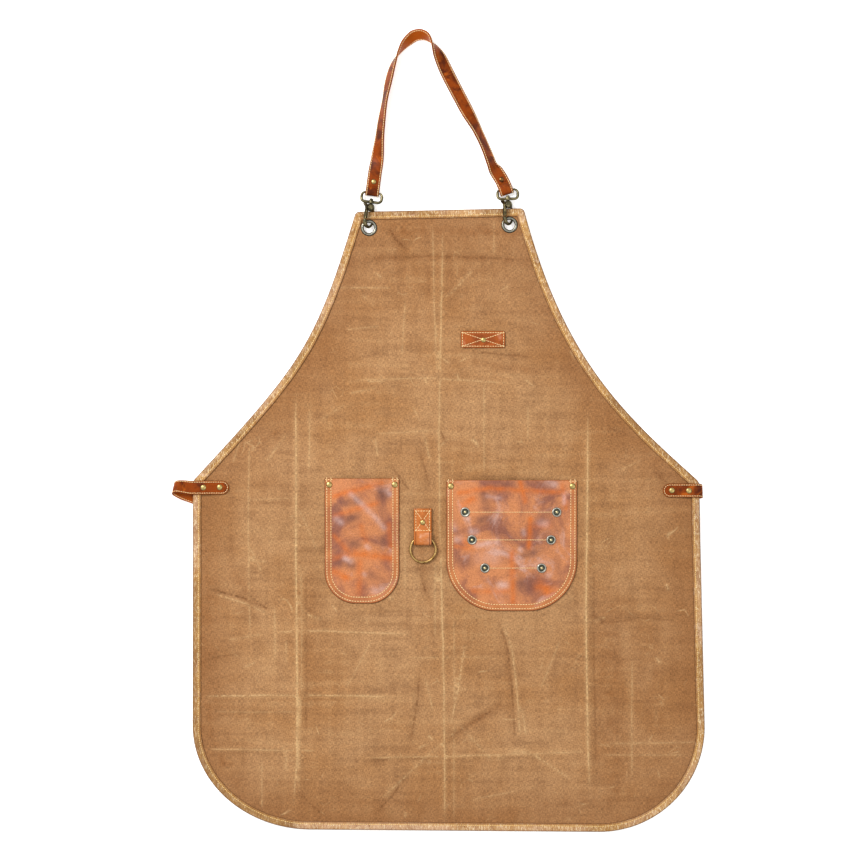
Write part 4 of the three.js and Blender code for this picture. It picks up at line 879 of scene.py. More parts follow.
# %% Shape of the cloth
SNAPS = {
    "left": {"x": -97.2, "y": 280.6, "lean": -7.0, "slide": 0.0, "pull": -7.0, "bend": -1.0},
    "right": {"x": 98.0, "y": 284.9, "lean": 1.5, "slide": -2.5, "pull": 18.0, "bend": 18.0},
}
SMALL = {"left": -158.7, "right": -55.2, "top": -67.3, "bottom": -241.0, "corner": 44.0, "crown": 7.0}
LARGE = {"left": 10.2, "right": 191.8, "top": -69.5, "bottom": -251.3, "corner": 70.0, "crown": 7.5}
RING_TAB = {"left": -35.1, "right": -10.1, "top": -109.0, "bottom": -185.0}
CHEST_TAB = {"left": 30.4, "right": 92.0, "top": 137.4, "bottom": 114.2}
WAIST_PADS = ({"left": -350.0, "right": -291.0, "top": -70.0, "bottom": -90.0},
              {"left": 310.0, "right": 370.0, "top": -74.0, "bottom": -94.0})
GROMMET_PADS = tuple({"left": s["x"] - 11, "right": s["x"] + 11, "top": s["y"] + 11, "bottom": s["y"] - 11}
                     for s in SNAPS.values())
PADS = (SMALL, LARGE, RING_TAB, CHEST_TAB) + WAIST_PADS + GROMMET_PADS
HOLE_R = 8.1
MESH_STEP = 4.3


def within(points, polygon):
    inside = np.zeros(len(points), bool)
    x, y = points[:, 0], points[:, 1]
    for (ax, ay), (bx, by) in zip(polygon, np.roll(polygon, -1, 0)):
        if ay != by:
            inside ^= ((ay > y) != (by > y)) & (x < (bx - ax) * (y - ay) / (by - ay) + ax)
    return inside


def edge_distance(points):
    loop = np.concatenate([EDGE, EDGE[:1]])
    return beside(points, loop)[0]


def cloth_shape(points):
    """Height of the folds at plan points, and for the pale folds and the dark ones of painted shade, how far the
    nearest is and how strong.
    """
    away = edge_distance(points)
    calm = smooth(13.0, 34.0, away)
    for pad in PADS:
        dx = np.maximum(np.maximum(pad["left"] - points[:, 0], points[:, 0] - pad["right"]), 0.0)
        dy = np.maximum(np.maximum(pad["bottom"] - points[:, 1], points[:, 1] - pad["top"]), 0.0)
        calm = calm * smooth(1.0, 12.0, np.hypot(dx, dy))
    height = 0.45 * wobble(points, 70.0, 3.0) + 0.22 * wobble(points, 24.0, 4.0)
    masks = {"pale": np.zeros(len(points)), "dark": np.zeros(len(points))}
    masks |= {f"{tone}_off": np.full(len(points), 30.0) for tone in ("pale", "dark")}
    for row in FOLDS:
        off, share = beside(points, row["line"])
        ends = smooth(0.0, 0.12, share) * smooth(1.0, 0.88, share)
        height += row["rise"] * ends * np.exp(-(off / row["half"]) ** 1.5)
        tone = "pale" if row["pale"] else "dark"
        nearer = off < masks[f"{tone}_off"]
        masks[tone][nearer] = (row[tone] * ends)[nearer]
        masks[f"{tone}_off"][nearer] = off[nearer]
    return np.clip(height * calm, -1.1, 2.6), masks


print("places that stay flat:", len(PADS))

# %% [markdown]
# ## Canvas panel
# The panel could be a subdivided grid, but folds need points exactly on their ridges, and the edge needs points on
# the outline. A Delaunay fill takes both: points on the outline, round the grommet holes, along every fold, and an
# even mesh between them.

# %% Canvas panel
CANVAS_INSET = 2.4  # from the binding's outer edge
CELL = 1.7  # points nearer than about this are left out


def cloth_points(rim):
    wide, tall = MESH_STEP, MESH_STEP * math.sqrt(0.75)
    grid = [(x + (j % 2) * wide / 2, y) for j, y in enumerate(np.arange(-556.0, 308.0, tall))
            for x in np.arange(-345.0, 372.0, wide)]
    along = []
    for row in FOLDS:
        line = resampled(row["line"], 3.0)
        run = unit(np.gradient(line, axis=0))
        side = np.stack([-run[:, 1], run[:, 0]], axis=1)
        along += [tuple(p) for off in ((0.0, -2.4, 2.4) if row["rise"] else (0.0,)) for p in line + off * side]
    kept, cells = [], set()
    for x, y in along + grid:
        i, j = round(x / CELL), round(y / CELL)
        if not any((i + a, j + b) in cells for a in (-1, 0, 1) for b in (-1, 0, 1)):
            cells.add((i, j))
            kept.append((x, y))
    kept = np.array(kept)
    clear = within(kept, rim) & (beside(kept, np.concatenate([rim, rim[:1]]))[0] > 1.8)
    for snap in SNAPS.values():
        clear &= np.hypot(kept[:, 0] - snap["x"], kept[:, 1] - snap["y"]) > HOLE_R + 1.5
    return kept[clear]


def canvas_panel():
    rim = EDGE + WAY * CANVAS_INSET
    turn = np.radians(np.arange(0.0, 360.0, 15.0))
    holes = [np.stack([s["x"] + HOLE_R * np.cos(turn), s["y"] + HOLE_R * np.sin(turn)], axis=1)
             for s in SNAPS.values()]
    loops, points, edges = [rim] + holes, [], []
    for loop in loops:
        start = len(points)
        points += list(loop)
        edges += [(start + i, start + (i + 1) % len(loop)) for i in range(len(loop))]
    points += list(cloth_points(rim))
    flat = delaunay_2d_cdt([Vector(p) for p in points], edges, [], 1, 1e-5)
    plan = np.array([tuple(p) for p in flat[0]])
    faces = np.array([f for f in flat[2] if len(f) == 3])
    middle = plan[faces].mean(axis=1)
    solid = np.ones(len(faces), bool)
    for snap in SNAPS.values():
        solid &= np.hypot(middle[:, 0] - snap["x"], middle[:, 1] - snap["y"]) > HOLE_R - 0.2
    faces = faces[solid]
    height, masks = cloth_shape(plan)
    top = np.column_stack([plan, cloth_top(plan[:, 1]) + height])
    under = top - (0.0, 0.0, WALL["canvas"])
    count = len(plan)
    uses = {}
    for a, b, c in faces.tolist():
        for edge in ((a, b), (b, c), (c, a)):
            uses[tuple(sorted(edge))] = uses.get(tuple(sorted(edge)), 0) + 1
    sides = [(a, b, b + count, a + count) for (a, b), n in uses.items() if n == 1]
    shell = faces.tolist() + (faces[:, ::-1] + count).tolist() + sides
    # darker and redder towards the edge
    masks["ruddy_and_fold_shade"] = np.maximum(strokes(plan, RUDDY_AND_FOLD_SHADE), 0.62 * smooth(95.0, 6.0, edge_distance(plan)))
    masks = {name: np.tile(mask, 2) for name, mask in masks.items()}
    made = build("canvas", np.concatenate([top, under]), shell, CANVAS, masks, 60.0)
    corners = plan[faces]
    area = 0.5 * np.abs(np.cross(corners[:, 1] - corners[:, 0], corners[:, 2] - corners[:, 0])).sum() * MM ** 2
    return place(made, "canvas", "canvas_panel"), float(area)


canvas, canvas_area = canvas_panel()
print("canvas:", len(canvas.data.polygons), "faces, flat area", round(canvas_area, 4), "m2")

# %% [markdown]
# ## Pocket shape
# Each pocket is one thick piece of hide, sewn flat on three sides and standing open a little at the mouth. Its
# outline and the height of its face are functions, because the rivets, studs and seams on it need them too.

# %% Pocket shape
SEWN_MARGIN = 12.0  # the width round a pocket that its seams hold flat


def half_width(pocket, y):
    below = np.clip(pocket["bottom"] + pocket["corner"] - y, 0.0, pocket["corner"])
    return (pocket["right"] - pocket["left"]) / 2 - pocket["corner"] + np.sqrt(pocket["corner"] ** 2 - below ** 2)


def pocket_top(pocket, x, y):
    """Height of the hide's face at plan points."""
    half = half_width(pocket, y)
    inner = np.maximum(half - SEWN_MARGIN, 0.4 * half)
    off = np.abs(x - (pocket["left"] + pocket["right"]) / 2)
    low = pocket["bottom"] + SEWN_MARGIN
    open_share = np.clip((y - low) / (pocket["top"] - low), 0.0, 1.0)
    crown = pocket["crown"] * open_share * smooth(inner, 0.4 * inner, off)
    return cloth_top(y) + WALL["gap"] + WALL["pocket"] + crown


def pocket_outline(pocket, inset, step=2.0):
    """The sewn sides and bottom at a distance in from the edge, from the left of the mouth to the right."""
    left, right = pocket["left"] + inset, pocket["right"] - inset
    bottom, corner = pocket["bottom"] + inset, pocket["corner"] - inset
    turn = np.radians(np.linspace(180.0, 270.0, 40))
    bend = np.stack([left + corner + corner * np.cos(turn), bottom + corner + corner * np.sin(turn)], axis=1)
    other = np.stack([left + right - bend[::-1, 0], bend[::-1, 1]], axis=1)
    return resampled(np.concatenate([[(left, pocket["top"])], bend, other, [(right, pocket["top"])]]), step)


print("pocket outlines:", [len(pocket_outline(pocket, 0.0)) for pocket in (SMALL, LARGE)], "points")

# %% [markdown]
# ## Patch pockets
# A fine grid whose rows follow the outline makes the piece. It also carries the hide's markings: bands where it
# was pulled turn orange, oil leaves mauve zones, and pale lilac blots are painted sheen. They are strokes with a place
# and a width.

# %% Patch pockets
HIDE_STEP = 1.7  # millimetres between the rows of a pocket's grid
SMALL_MARKS = {
    "warm": [
        ([(334, 496), (381, 483)], 3.0, 0.85), ([(336, 515), (377, 503)], 2.8, 0.65),
        ([(334, 536), (349, 552)], 3.0, 0.6), ([(356, 553), (391, 558)], 4.0, 0.85),
        ([(334, 558), (356, 553)], 3.0, 0.6), ([(333, 571), (347, 578)], 4.0, 0.85),
        ([(360, 561), (359, 593)], 3.5, 0.6), ([(361, 526), (366, 541)], 3.0, 0.6),
        ([(389, 525), (391, 545)], 3.5, 0.6),
    ],
    "plum": [
        ([(344, 502), (357, 501)], 4.5, 0.8), ([(381, 493), (387, 496)], 5.0, 0.8),
        ([(349, 519), (357, 516)], 5.0, 0.75), ([(353, 543), (357, 545)], 4.0, 0.85),
        ([(341, 562), (353, 565)], 4.5, 0.9), ([(370, 575), (386, 583)], 6.0, 0.5),
        ([(383, 541), (388, 543)], 4.0, 0.6), ([(337, 506), (339, 508)], 3.0, 0.5),
    ],
    # pale lilac blots of painted sheen
    "bloom": [
        ([(351, 494), (361, 503), (377, 519), (384, 528)], 2.7, 0.62), ([(337, 519), (341, 522)], 3.5, 0.6),
        ([(345, 558), (351, 561)], 2.8, 0.9), ([(367, 546), (369, 548)], 2.4, 0.6),
        ([(388, 492), (390, 494)], 3.2, 0.6), ([(364, 574), (365, 575)], 2.0, 0.6),
        ([(374, 590), (380, 591)], 4.5, 0.4),
    ],
}
LARGE_MARKS = {
    "warm": [
        ([(459, 493), (487, 488), (516, 490), (559, 492)], 2.8, 0.85), ([(520, 482), (525, 501)], 2.6, 1.0),
        ([(463, 505), (473, 499)], 3.5, 0.85), ([(530, 519), (529, 547)], 2.8, 0.95),
        ([(535, 526), (549, 525)], 3.5, 0.6), ([(512, 552), (513, 602)], 3.0, 0.85),
        ([(473, 591), (509, 591)], 2.8, 0.6), ([(540, 586), (550, 591)], 6.0, 0.95),
        ([(463, 541), (470, 546)], 3.0, 0.7), ([(455, 546), (473, 549)], 2.4, 0.6),
        ([(562, 485), (566, 508)], 2.4, 0.7),
    ],
    "plum": [
        ([(483, 493), (487, 508)], 4.5, 0.75), ([(479, 521), (487, 518)], 5.0, 0.65),
        ([(525, 553), (537, 552)], 5.5, 0.65), ([(520, 583), (533, 586)], 7.0, 0.65),
        ([(505, 485), (510, 486)], 5.0, 0.55), ([(459, 561), (470, 563)], 5.0, 0.45),
        ([(556, 560), (560, 575)], 5.0, 0.4),
    ],
    # pale lilac blots of painted sheen
    "bloom": [
        ([(467, 518), (468, 519)], 2.4, 0.75), ([(472, 532), (475, 532)], 3.5, 0.75),
        ([(457, 539), (460, 539)], 3.5, 0.6), ([(477, 545), (496, 542)], 3.4, 0.7),
        ([(501, 585), (505, 585)], 3.5, 0.85), ([(520, 549), (521, 550)], 2.4, 0.85),
        ([(540, 523), (546, 524)], 3.6, 0.7), ([(523, 530), (524, 534)], 2.2, 0.6),
        ([(564, 496), (564, 503)], 2.2, 0.75), ([(548, 483), (555, 484)], 4.0, 0.6),
        ([(487, 496), (500, 498)], 2.2, 0.4), ([(452, 525), (454, 528)], 3.5, 0.5),
        ([(482, 558), (494, 558)], 7.0, 0.35), ([(548, 575), (550, 575)], 2.8, 0.55),
    ],
}


def pocket_piece(name, pocket, marks):
    tall = pocket["top"] - pocket["bottom"]
    bend = pocket["corner"] * (1 - np.cos(np.radians(np.linspace(0.0, 90.0, 34))))
    side = np.linspace(pocket["corner"], tall - 0.5, int((tall - pocket["corner"]) / HIDE_STEP))
    y = pocket["bottom"] + np.concatenate([[0.5], bend[bend > 0.9][:-1], side])[:, None]
    u = np.linspace(-1.0, 1.0, int((pocket["right"] - pocket["left"]) / HIDE_STEP))[None, :]
    x = (pocket["left"] + pocket["right"]) / 2 + u * (half_width(pocket, y) - 0.5)
    y = np.broadcast_to(y, x.shape)
    face = np.stack([x, y, pocket_top(pocket, x, y)], axis=-1)
    flat = face.reshape(-1, 3)
    rows, columns = x.shape
    at = np.arange(rows * columns).reshape(rows, columns)
    grid = np.stack([at[:-1, :-1], at[:-1, 1:], at[1:, 1:], at[1:, :-1]], axis=-1).reshape(-1, 4)
    rim = np.concatenate([at[0, :], at[1:, -1], at[-1, -2::-1], at[-2:0:-1, 0]])
    out = np.roll(flat[rim, :2], -1, 0) - np.roll(flat[rim, :2], 1, 0)
    out = unit(np.stack([out[:, 1], -out[:, 0]], axis=1))
    wall = WALL["pocket"]
    lips = [np.column_stack([flat[rim, :2] + 0.5 * out, flat[rim, 2] - drop]) for drop in (0.5, wall - 0.5)]
    under = flat - (0.0, 0.0, wall)
    count, ring = len(flat), len(rim)
    points = np.concatenate([flat, under] + lips)
    circles = [rim, 2 * count + np.arange(ring), 2 * count + ring + np.arange(ring), rim + count]
    faces = grid.tolist() + (grid[:, ::-1] + count).tolist()
    for a, b in zip(circles, circles[1:]):
        faces += np.stack([a, np.roll(a, -1), np.roll(b, -1), b], axis=-1).tolist()
    edge = beside(points[:, :2], pocket_outline(pocket, 0.0))[0]
    edge = np.minimum(edge, np.where(points[:, 1] > pocket["top"] - 1.2, 0.8, 99.0))
    masks = {"edge": edge} | {kind: strokes(points[:, :2], rows) for kind, rows in marks.items()}
    return place(build(name, points, faces, POCKET, masks, 50.0), "pocket_leather", f"pocket_{name.split('_')[0]}")


pockets = [pocket_piece("small_pocket", SMALL, SMALL_MARKS), pocket_piece("large_pocket", LARGE, LARGE_MARKS)]
print("pockets:", [(made.name, len(made.data.polygons)) for made in pockets])

# %% [markdown]
# ## Straps
# A strap is a flat band with slightly rounded edges. Each is described by rows: its middle, the way its width
# points, and half its width. A smooth curve goes through the rows, and one section follows it. That keeps its
# width the same however it rolls and twists, which a simulated cloth would not.

# %% Strap helper
STRAP_HALF = 9.5  # half the width
HALF_THICK = WALL["strap"] / 2
STRAP_STEP = 1.8


def eased(rows, step):
    """A smooth curve through rows of any columns, at even steps of the first three."""
    rows = np.asarray(rows, float)
    gaps = np.linalg.norm(np.diff(rows[:, :3], axis=0), axis=1)
    s = np.concatenate([[0.0], np.cumsum(gaps)])
    slopes = np.diff(rows, axis=0) / gaps[:, None]
    m = np.concatenate([slopes[:1], slopes[:-1], slopes[-1:]])
    m[1:-1] = (slopes[:-1] * gaps[1:, None] + slopes[1:] * gaps[:-1, None]) / (gaps[1:] + gaps[:-1])[:, None]
    t = np.linspace(0.0, s[-1], int(round(s[-1] / step)) + 1)
    i = np.clip(np.searchsorted(s, t, side="right") - 1, 0, len(gaps) - 1)
    u, g = ((t - s[i]) / gaps[i])[:, None], gaps[i][:, None]
    return ((2 * u ** 3 - 3 * u ** 2 + 1) * rows[i] + (u ** 3 - 2 * u ** 2 + u) * g * m[i]
            + (3 * u ** 2 - 2 * u ** 3) * rows[i + 1] + (u ** 3 - u ** 2) * g * m[i + 1])


def on_table(rows, thick):
    """The same rows, raised wherever an edge of the strap would dip into the table."""
    rows = rows.copy()
    tilt = np.abs(unit(rows[:, 3:6])[:, 2])
    rows[:, 2] = np.maximum(rows[:, 2], rows[:, 6] * tilt + thick / 2 * np.sqrt(1 - tilt ** 2) + 0.05)
    return rows


def strap_section(half, thick):
    """(share across, height, inset from the edge in mm, 1 on the lower face), once round."""
    t = thick / 2
    ring = [(0.75, t - 0.02), (1.2, t), (1.9, t - 0.18), (2.6, t), (5.5, t + 0.06), (half, t + 0.08)]
    upper = [(-(half - d) / half, v, d, 0.0) for d, v in ring]
    upper += [((half - d) / half, v, d, 0.0) for d, v in ring[-2::-1]]
    rim = ((0.25, t - 0.25), (0.0, t - 0.8), (0.0, 0.8 - t), (0.25, 0.25 - t))
    right = [((half - d) / half, v, 0.0, float(v < 0)) for d, v in rim]
    lower = [(-u, -v, d, 1.0) for u, v, d, _ in upper]
    left = [(-u, -v, d, 1.0 - w) for u, v, d, w in right]
    return np.array(upper + right + lower + left)


def frames(rows):
    middle, width = rows[:, :3], unit(rows[:, 3:6])
    along = unit(np.gradient(middle, axis=0))
    return middle, width, unit(np.cross(along, width))


def strap(name, rows, thick, half, face, node_name, tip=None, hide=STRAP):
    """face is 1 where the grain is on the side that the rows' turn points to, and -1 otherwise."""
    middle, width, normal = frames(rows)
    section = strap_section(half, thick)
    across = section[None, :, :1] * rows[:, None, 6:7]
    loops = middle[:, None, :] + width[:, None, :] * across + face * normal[:, None, :] * section[None, :, 1:2]
    edge = section[None, :, 2] * (rows[:, 6] / half)[:, None]
    if tip is not None:
        edge = np.minimum(edge, np.linalg.norm(middle - tip, axis=1)[:, None])
    masks = {"edge": edge, "under": np.broadcast_to(section[None, :, 3], edge.shape)}
    points, faces = skin(loops)
    return place(build(name, points, faces, hide, masks, 50.0), "strap_leather", node_name)


def strap_seams(rows, thick, half, face, sides=(1, -1)):
    """Rows of stitches near both edges, on the faces that are asked for."""
    middle, width, normal = frames(rows)
    for side in sides:
        up = normal * face * side
        for hand in (1, -1):
            seams["strap"].append((middle + width * hand * (half - STRAP_SEAM) + up * (thick / 2 + 0.02), up))


print("strap section:", len(strap_section(STRAP_HALF, WALL["strap"])), "points")

# %% [markdown]
# The neck strap ends in a fold round the bar of each snap hook, riveted through both layers. Between the hooks it
# lies on the table and rolls on to its edge, so that near its top the raw underside shows.

# %% Neck strap
SNAP = {"tilt": 50.0, "z": 7.8, "shift": -1.4, "bar_y": 49.1, "bar_z": 5.3, "bar_r": 1.6,
        "collar_y": 35.9, "loop_wide": 31.3, "loop_tall": 16.4}
TAIL = {"length": 27.0, "z": 2.1, "flat": 4.6, "rivet": 15.4, "rivet_r": 3.5, "slack": 0.5, "close": 5.0, "bulge": 0.8}
# middle in plan, and how far the strap rolls on to its outer edge
NECK_ROWS = [
    (-85.5, 378, 22), (-82.7, 403, 48), (-79.5, 430, 58), (-75, 458, 68), (-69.5, 486, 60), (-62.5, 510, 72),
    (-54.5, 526, 100), (-43.5, 540, 130), (-29.5, 549, 140), (-17, 546, 118), (-8.5, 536, 80), (-1, 523, 40),
    (9.7, 500, 12), (23.6, 472.6, 12), (38.2, 444.8, 18), (53, 417, 46), (65.4, 390, 50), (73.6, 369, 44),
]


def on_snap(snap, along):
    """Plan point and heading of the strap's end at a distance from the bar it is folded round."""
    lean, start = math.radians(snap["lean"]), math.radians(snap["pull"])
    across, up = SNAP["shift"] + snap["slide"], SNAP["bar_y"]
    rate = math.radians(snap["bend"]) / TAIL["length"]
    heading, straight = start + rate * max(along, 0.0), min(along, 0.0)
    x = across * math.cos(lean) - up * math.sin(lean)
    y = across * math.sin(lean) + up * math.cos(lean)
    x += snap["x"] + (math.cos(heading) - math.cos(start)) / rate - straight * math.sin(start)
    y += snap["y"] + (math.sin(heading) - math.sin(start)) / rate + straight * math.cos(start)
    return x, y, heading


def snap_end(snap, outer):
    turn = SNAP["bar_r"] + 0.45 + HALF_THICK
    reach = TAIL["slack"] + STRAP_HALF * math.tan(math.radians(abs(snap["pull"] - snap["lean"])))
    flat = np.linspace(TAIL["rivet"] - TAIL["rivet_r"] - 1, TAIL["length"] - 1, 4)
    path = [(TAIL["length"], TAIL["z"])] + [(s, TAIL["z"]) for s in flat[-2::-1]]
    for angle in np.radians(np.linspace(-90.0, -270.0, 9)):
        path.append((-reach + turn * math.cos(angle), SNAP["bar_z"] + turn * math.sin(angle)))
    path.append((reach, SNAP["bar_z"] + turn))
    path.append((reach + TAIL["close"], (SNAP["bar_z"] + turn + TAIL["flat"]) / 2 + TAIL["bulge"]))
    path += [(s, TAIL["flat"]) for s in flat]
    rows = []
    for along, z in path:
        x, y, heading = on_snap(snap, along)
        rows.append((x, y, z, outer * math.cos(heading), outer * math.sin(heading), 0.0, STRAP_HALF))
    return rows


def neck_run():
    rows = np.array([(x, y, 0.0, roll) for x, y, roll in NECK_ROWS], float)
    rows = eased(rows, 9.0)
    run = unit(np.gradient(rows[:, :2], axis=0))
    roll = np.radians(rows[:, 3])
    width = np.stack([-run[:, 1] * np.cos(roll), run[:, 0] * np.cos(roll), -np.sin(roll)], axis=1)
    z = STRAP_HALF * np.abs(np.sin(roll)) + HALF_THICK * np.abs(np.cos(roll))
    return np.column_stack([rows[:, :2], z, width, np.full(len(rows), STRAP_HALF)])


neck_rows = np.concatenate([snap_end(SNAPS["left"], -1), neck_run(), snap_end(SNAPS["right"], 1)[::-1]])
neck_rows = on_table(eased(neck_rows, STRAP_STEP), WALL["strap"])
strap("neck_band", neck_rows, WALL["strap"], STRAP_HALF, 1, "neck_strap")
strap_seams(neck_rows, WALL["strap"], STRAP_HALF, 1)
print("neck strap:", round(len(neck_rows) * STRAP_STEP), "mm along its middle")

# %% [markdown]
# The waist straps start at a round tip on the canvas, step up on to the binding and turn behind the apron. The left
# one stands out in a short loop before it goes under, and the right one turns tightly round the edge. Their ends
# meet in a plain sleeve behind the apron.

# %% Waist straps
LOW, HIGH = 7.25, 8.9  # the strap's middle on the canvas and on the binding
SEWN_ROWS = 130  # rows from the tip that carry stitches
TIPS = {"left": (-291.6, -80.0), "right": (310.9, -84.0)}
CLASP = {"left": 200.0, "right": 240.0, "y": -101.6, "z": 2.15, "width": 24.0, "ramp": 22.0}
# x, y, z, skew of the width from Y towards X, and roll that raises the edge nearer the hem
LEFT_LOOP = [
    (-345, -80, 9.2, 0, 2), (-351, -79.4, 10.4, 1, 10), (-358, -78.5, 12.2, 4, 22), (-363, -78.3, 13, 7, 28),
    (-366.6, -79.2, 12, 9, 31), (-368, -80.9, 9.8, 10, 32), (-367, -82.6, 7.6, 12, 30), (-363.5, -84.6, 6.4, 14, 27),
    (-357, -87.2, 4.2, 17, 16), (-350, -89.8, 2.2, 20, 5), (-343, -92.3, 1.1, 18, 0), (-325, -97.6, 1.1, 12, 0),
    (-300, -101, 1.1, 4, 0), (-285, -101.6, 1.1, 0, 0),
]
RIGHT_BACK = [(340, -88, 1.1, -9, 0), (315, -93.5, 1.1, -12, 0), (290, -99, 1.1, -8, 0), (275, -101, 1.1, -2, 0)]


def strap_rows(rows):
    out = []
    for x, y, z, skew, roll, *rest in rows:
        turn, rise = math.radians(skew), math.radians(roll)
        width = (math.sin(turn) * math.cos(rise), math.cos(turn) * math.cos(rise), -math.sin(rise))
        out.append((x, y, z) + width + (rest[0] if rest else STRAP_HALF,))
    return np.array(out)


def front_run(side, out):
    x, y = TIPS[side]
    rows = []
    for share in (0.01, 0.04, 0.1, 0.2, 0.35, 0.55, 0.78, 1.0):
        rows.append((x + out * STRAP_HALF * share, y, LOW, 0, 0, STRAP_HALF * math.sqrt(1 - (1 - share) ** 2)))
    return rows, [(x + out * step, y, z, 0, 0) for step, z in ((16.0, LOW), (20.0, LOW), (29.5, HIGH), (46.0, HIGH))]


def clasp_end(out, mouth, end):
    y, z = CLASP["y"], CLASP["z"]
    return [(mouth + out * CLASP["ramp"], y, 1.1, 0, 0), (mouth, y, z, 0, 0), (end, y, z, 0, 0)]


def edge_turn(y):
    middle = (HIGH + HALF_THICK) / 2
    turn, edge = HIGH - middle, 361.3
    rows = []
    for share in np.linspace(0.0, 1.0, 9):
        angle = math.pi * (0.5 - share)
        rows.append((edge + turn * math.cos(angle), y - 2.0 * share, middle + turn * math.sin(angle), -6.0 * share, 0))
    return rows


def waist_strap(side, out, back, mouth, end):
    tip, front = front_run(side, out)
    body = on_table(eased(strap_rows(front + back + clasp_end(out, mouth, end)), STRAP_STEP), WALL["strap"])
    rows = np.concatenate([strap_rows(tip), body])
    start = np.array((*TIPS[side], LOW))
    made = strap(f"{side}_waist_band", rows, WALL["strap"], STRAP_HALF, out, f"waist_strap_{side}", start)
    middle, width, normal = frames(body)
    turn = np.radians(np.linspace(90.0, 270.0, 24))
    inner = STRAP_HALF - STRAP_SEAM
    arc = np.stack([TIPS[side][0] + out * (STRAP_HALF + inner * np.cos(turn)), TIPS[side][1] + inner * np.sin(turn),
                    np.full(len(turn), LOW + HALF_THICK + 0.02)], axis=1)
    shown = slice(0, SEWN_ROWS)
    face = normal * out
    upper = middle + width * inner + face * (HALF_THICK + 0.02)
    lower = middle - width * inner + face * (HALF_THICK + 0.02)
    path = np.concatenate([upper[shown][::-1], arc, lower[shown]])
    ups = np.concatenate([face[shown][::-1], np.tile((0.0, 0.0, 1.0), (len(arc), 1)), face[shown]])
    seams["strap"].append((path, ups))
    strap_seams(body[20:SEWN_ROWS], WALL["strap"], STRAP_HALF, out, (-1,))
    return made


middle_x = (CLASP["left"] + CLASP["right"]) / 2
waist_bands = [
    waist_strap("left", -1, LEFT_LOOP, CLASP["left"], middle_x - 0.3),
    waist_strap("right", 1, edge_turn(TIPS["right"][1]) + RIGHT_BACK, CLASP["right"], middle_x + 0.3),
]
print("waist straps:", [len(made.data.polygons) for made in waist_bands])

# %% [markdown]
# The sleeve behind the apron is hidden when it lies like this. It is a flat tube of brass with rounded ends,
# made as loops that run along its outside and come back along its inside.

# %% Waist sleeve
def flat_ring(half_w, half_h, corner, per=5):
    out = []
    for k, (sx, sz) in enumerate(((1, 1), (-1, 1), (-1, -1), (1, -1))):
        x, z = sx * (half_w - corner), sz * (half_h - corner)
        for turn in np.radians(np.linspace(90.0 * k, 90.0 * (k + 1), per)):
            out.append((x + corner * math.cos(turn), z + corner * math.sin(turn)))
    return np.array(out)


def waist_sleeve():
    half_w, half_h = CLASP["width"] / 2, CLASP["z"]
    loops = []
    for x, inset, inside in ((CLASP["left"], 0.3, False), (CLASP["left"] + 0.3, 0.0, False),
                             (CLASP["right"] - 0.3, 0.0, False), (CLASP["right"], 0.3, False),
                             (CLASP["right"], 0.0, True), (CLASP["left"], 0.0, True)):
        ring = flat_ring(9.8, 1.35, 0.3) if inside else flat_ring(half_w - inset, half_h - inset, 0.9)
        loops.append([(x, CLASP["y"] + a, CLASP["z"] + b) for a, b in ring])
    return place(build("waist_sleeve", *skin(loops, True), BRASS), "antique_brass", "waist_clasp")


waist_sleeve()
print("waist sleeve made")

# %% [markdown]
# ## Tabs and ring
# The lower tab is a strip folded over a ring and sewn to itself with a box and a cross. The tab on the bib is a
# plain plate with rounded corners, sewn the same way. The ring lies half in the fold and half on the canvas.

# %% Ring tab and ring
FOLD_TAB = {"x": -22.6, "half": 12.5, "top": -109.0, "seam": -140.0, "mouth": -146.5, "bend": -156.2}
RING = {"radius": 17.7, "wire": 1.75, "x": -22.2, "y": -166.1}


def fold_tab_rows():
    gap, wall = WALL["gap"], WALL["tab"]
    back, front = gap + wall / 2, 2 * gap + 1.5 * wall
    wide = back + wall + 2 * RING["wire"] + 2 * gap
    turn = (wide - back) / 2
    path = [(FOLD_TAB["top"] - 0.5, back), (-120.0, back), (-132.0, back), (-145.0, back)]
    for angle in np.radians(np.linspace(-90.0, -270.0, 11)):
        path.append((FOLD_TAB["bend"] + turn * math.cos(angle), back + turn + turn * math.sin(angle)))
    path += [(FOLD_TAB["mouth"], wide), (FOLD_TAB["seam"], front), (-136.0, front), (-128.0, front), (-118.0, front),
             (FOLD_TAB["top"], front)]
    return np.array([(FOLD_TAB["x"], y, z + cloth_top(y), 1, 0, 0, FOLD_TAB["half"]) for y, z in path], float)


tab_rows = eased(fold_tab_rows(), 1.2)
strap("folded_tab", tab_rows, WALL["tab"], FOLD_TAB["half"], -1, "ring_tab", hide=RING_HIDE)
ring_low = float(cloth_top(RING["y"] - RING["radius"])) + WALL["gap"] + RING["wire"]
ring_high = float(cloth_top(RING["y"] + RING["radius"])) + 2 * WALL["gap"] + WALL["tab"] + RING["wire"]
turns = np.linspace(0.0, 2 * math.pi, 96, endpoint=False)
hoop = wire(np.stack([RING["radius"] * np.cos(turns), RING["radius"] * np.sin(turns), 0 * turns], axis=1),
            RING["wire"], 18, True)
lie = (Matrix.Translation((RING["x"], RING["y"], (ring_low + ring_high) / 2))
       @ Matrix.Rotation(math.atan2(ring_high - ring_low, 2 * RING["radius"]), 4, "X"))
place(build("tab_ring", *moved(hoop, lie), RING_BRASS), "antique_brass", "ring")
print("ring: highest side", round(ring_high, 2), "mm, lowest side", round(ring_low, 2), "mm")

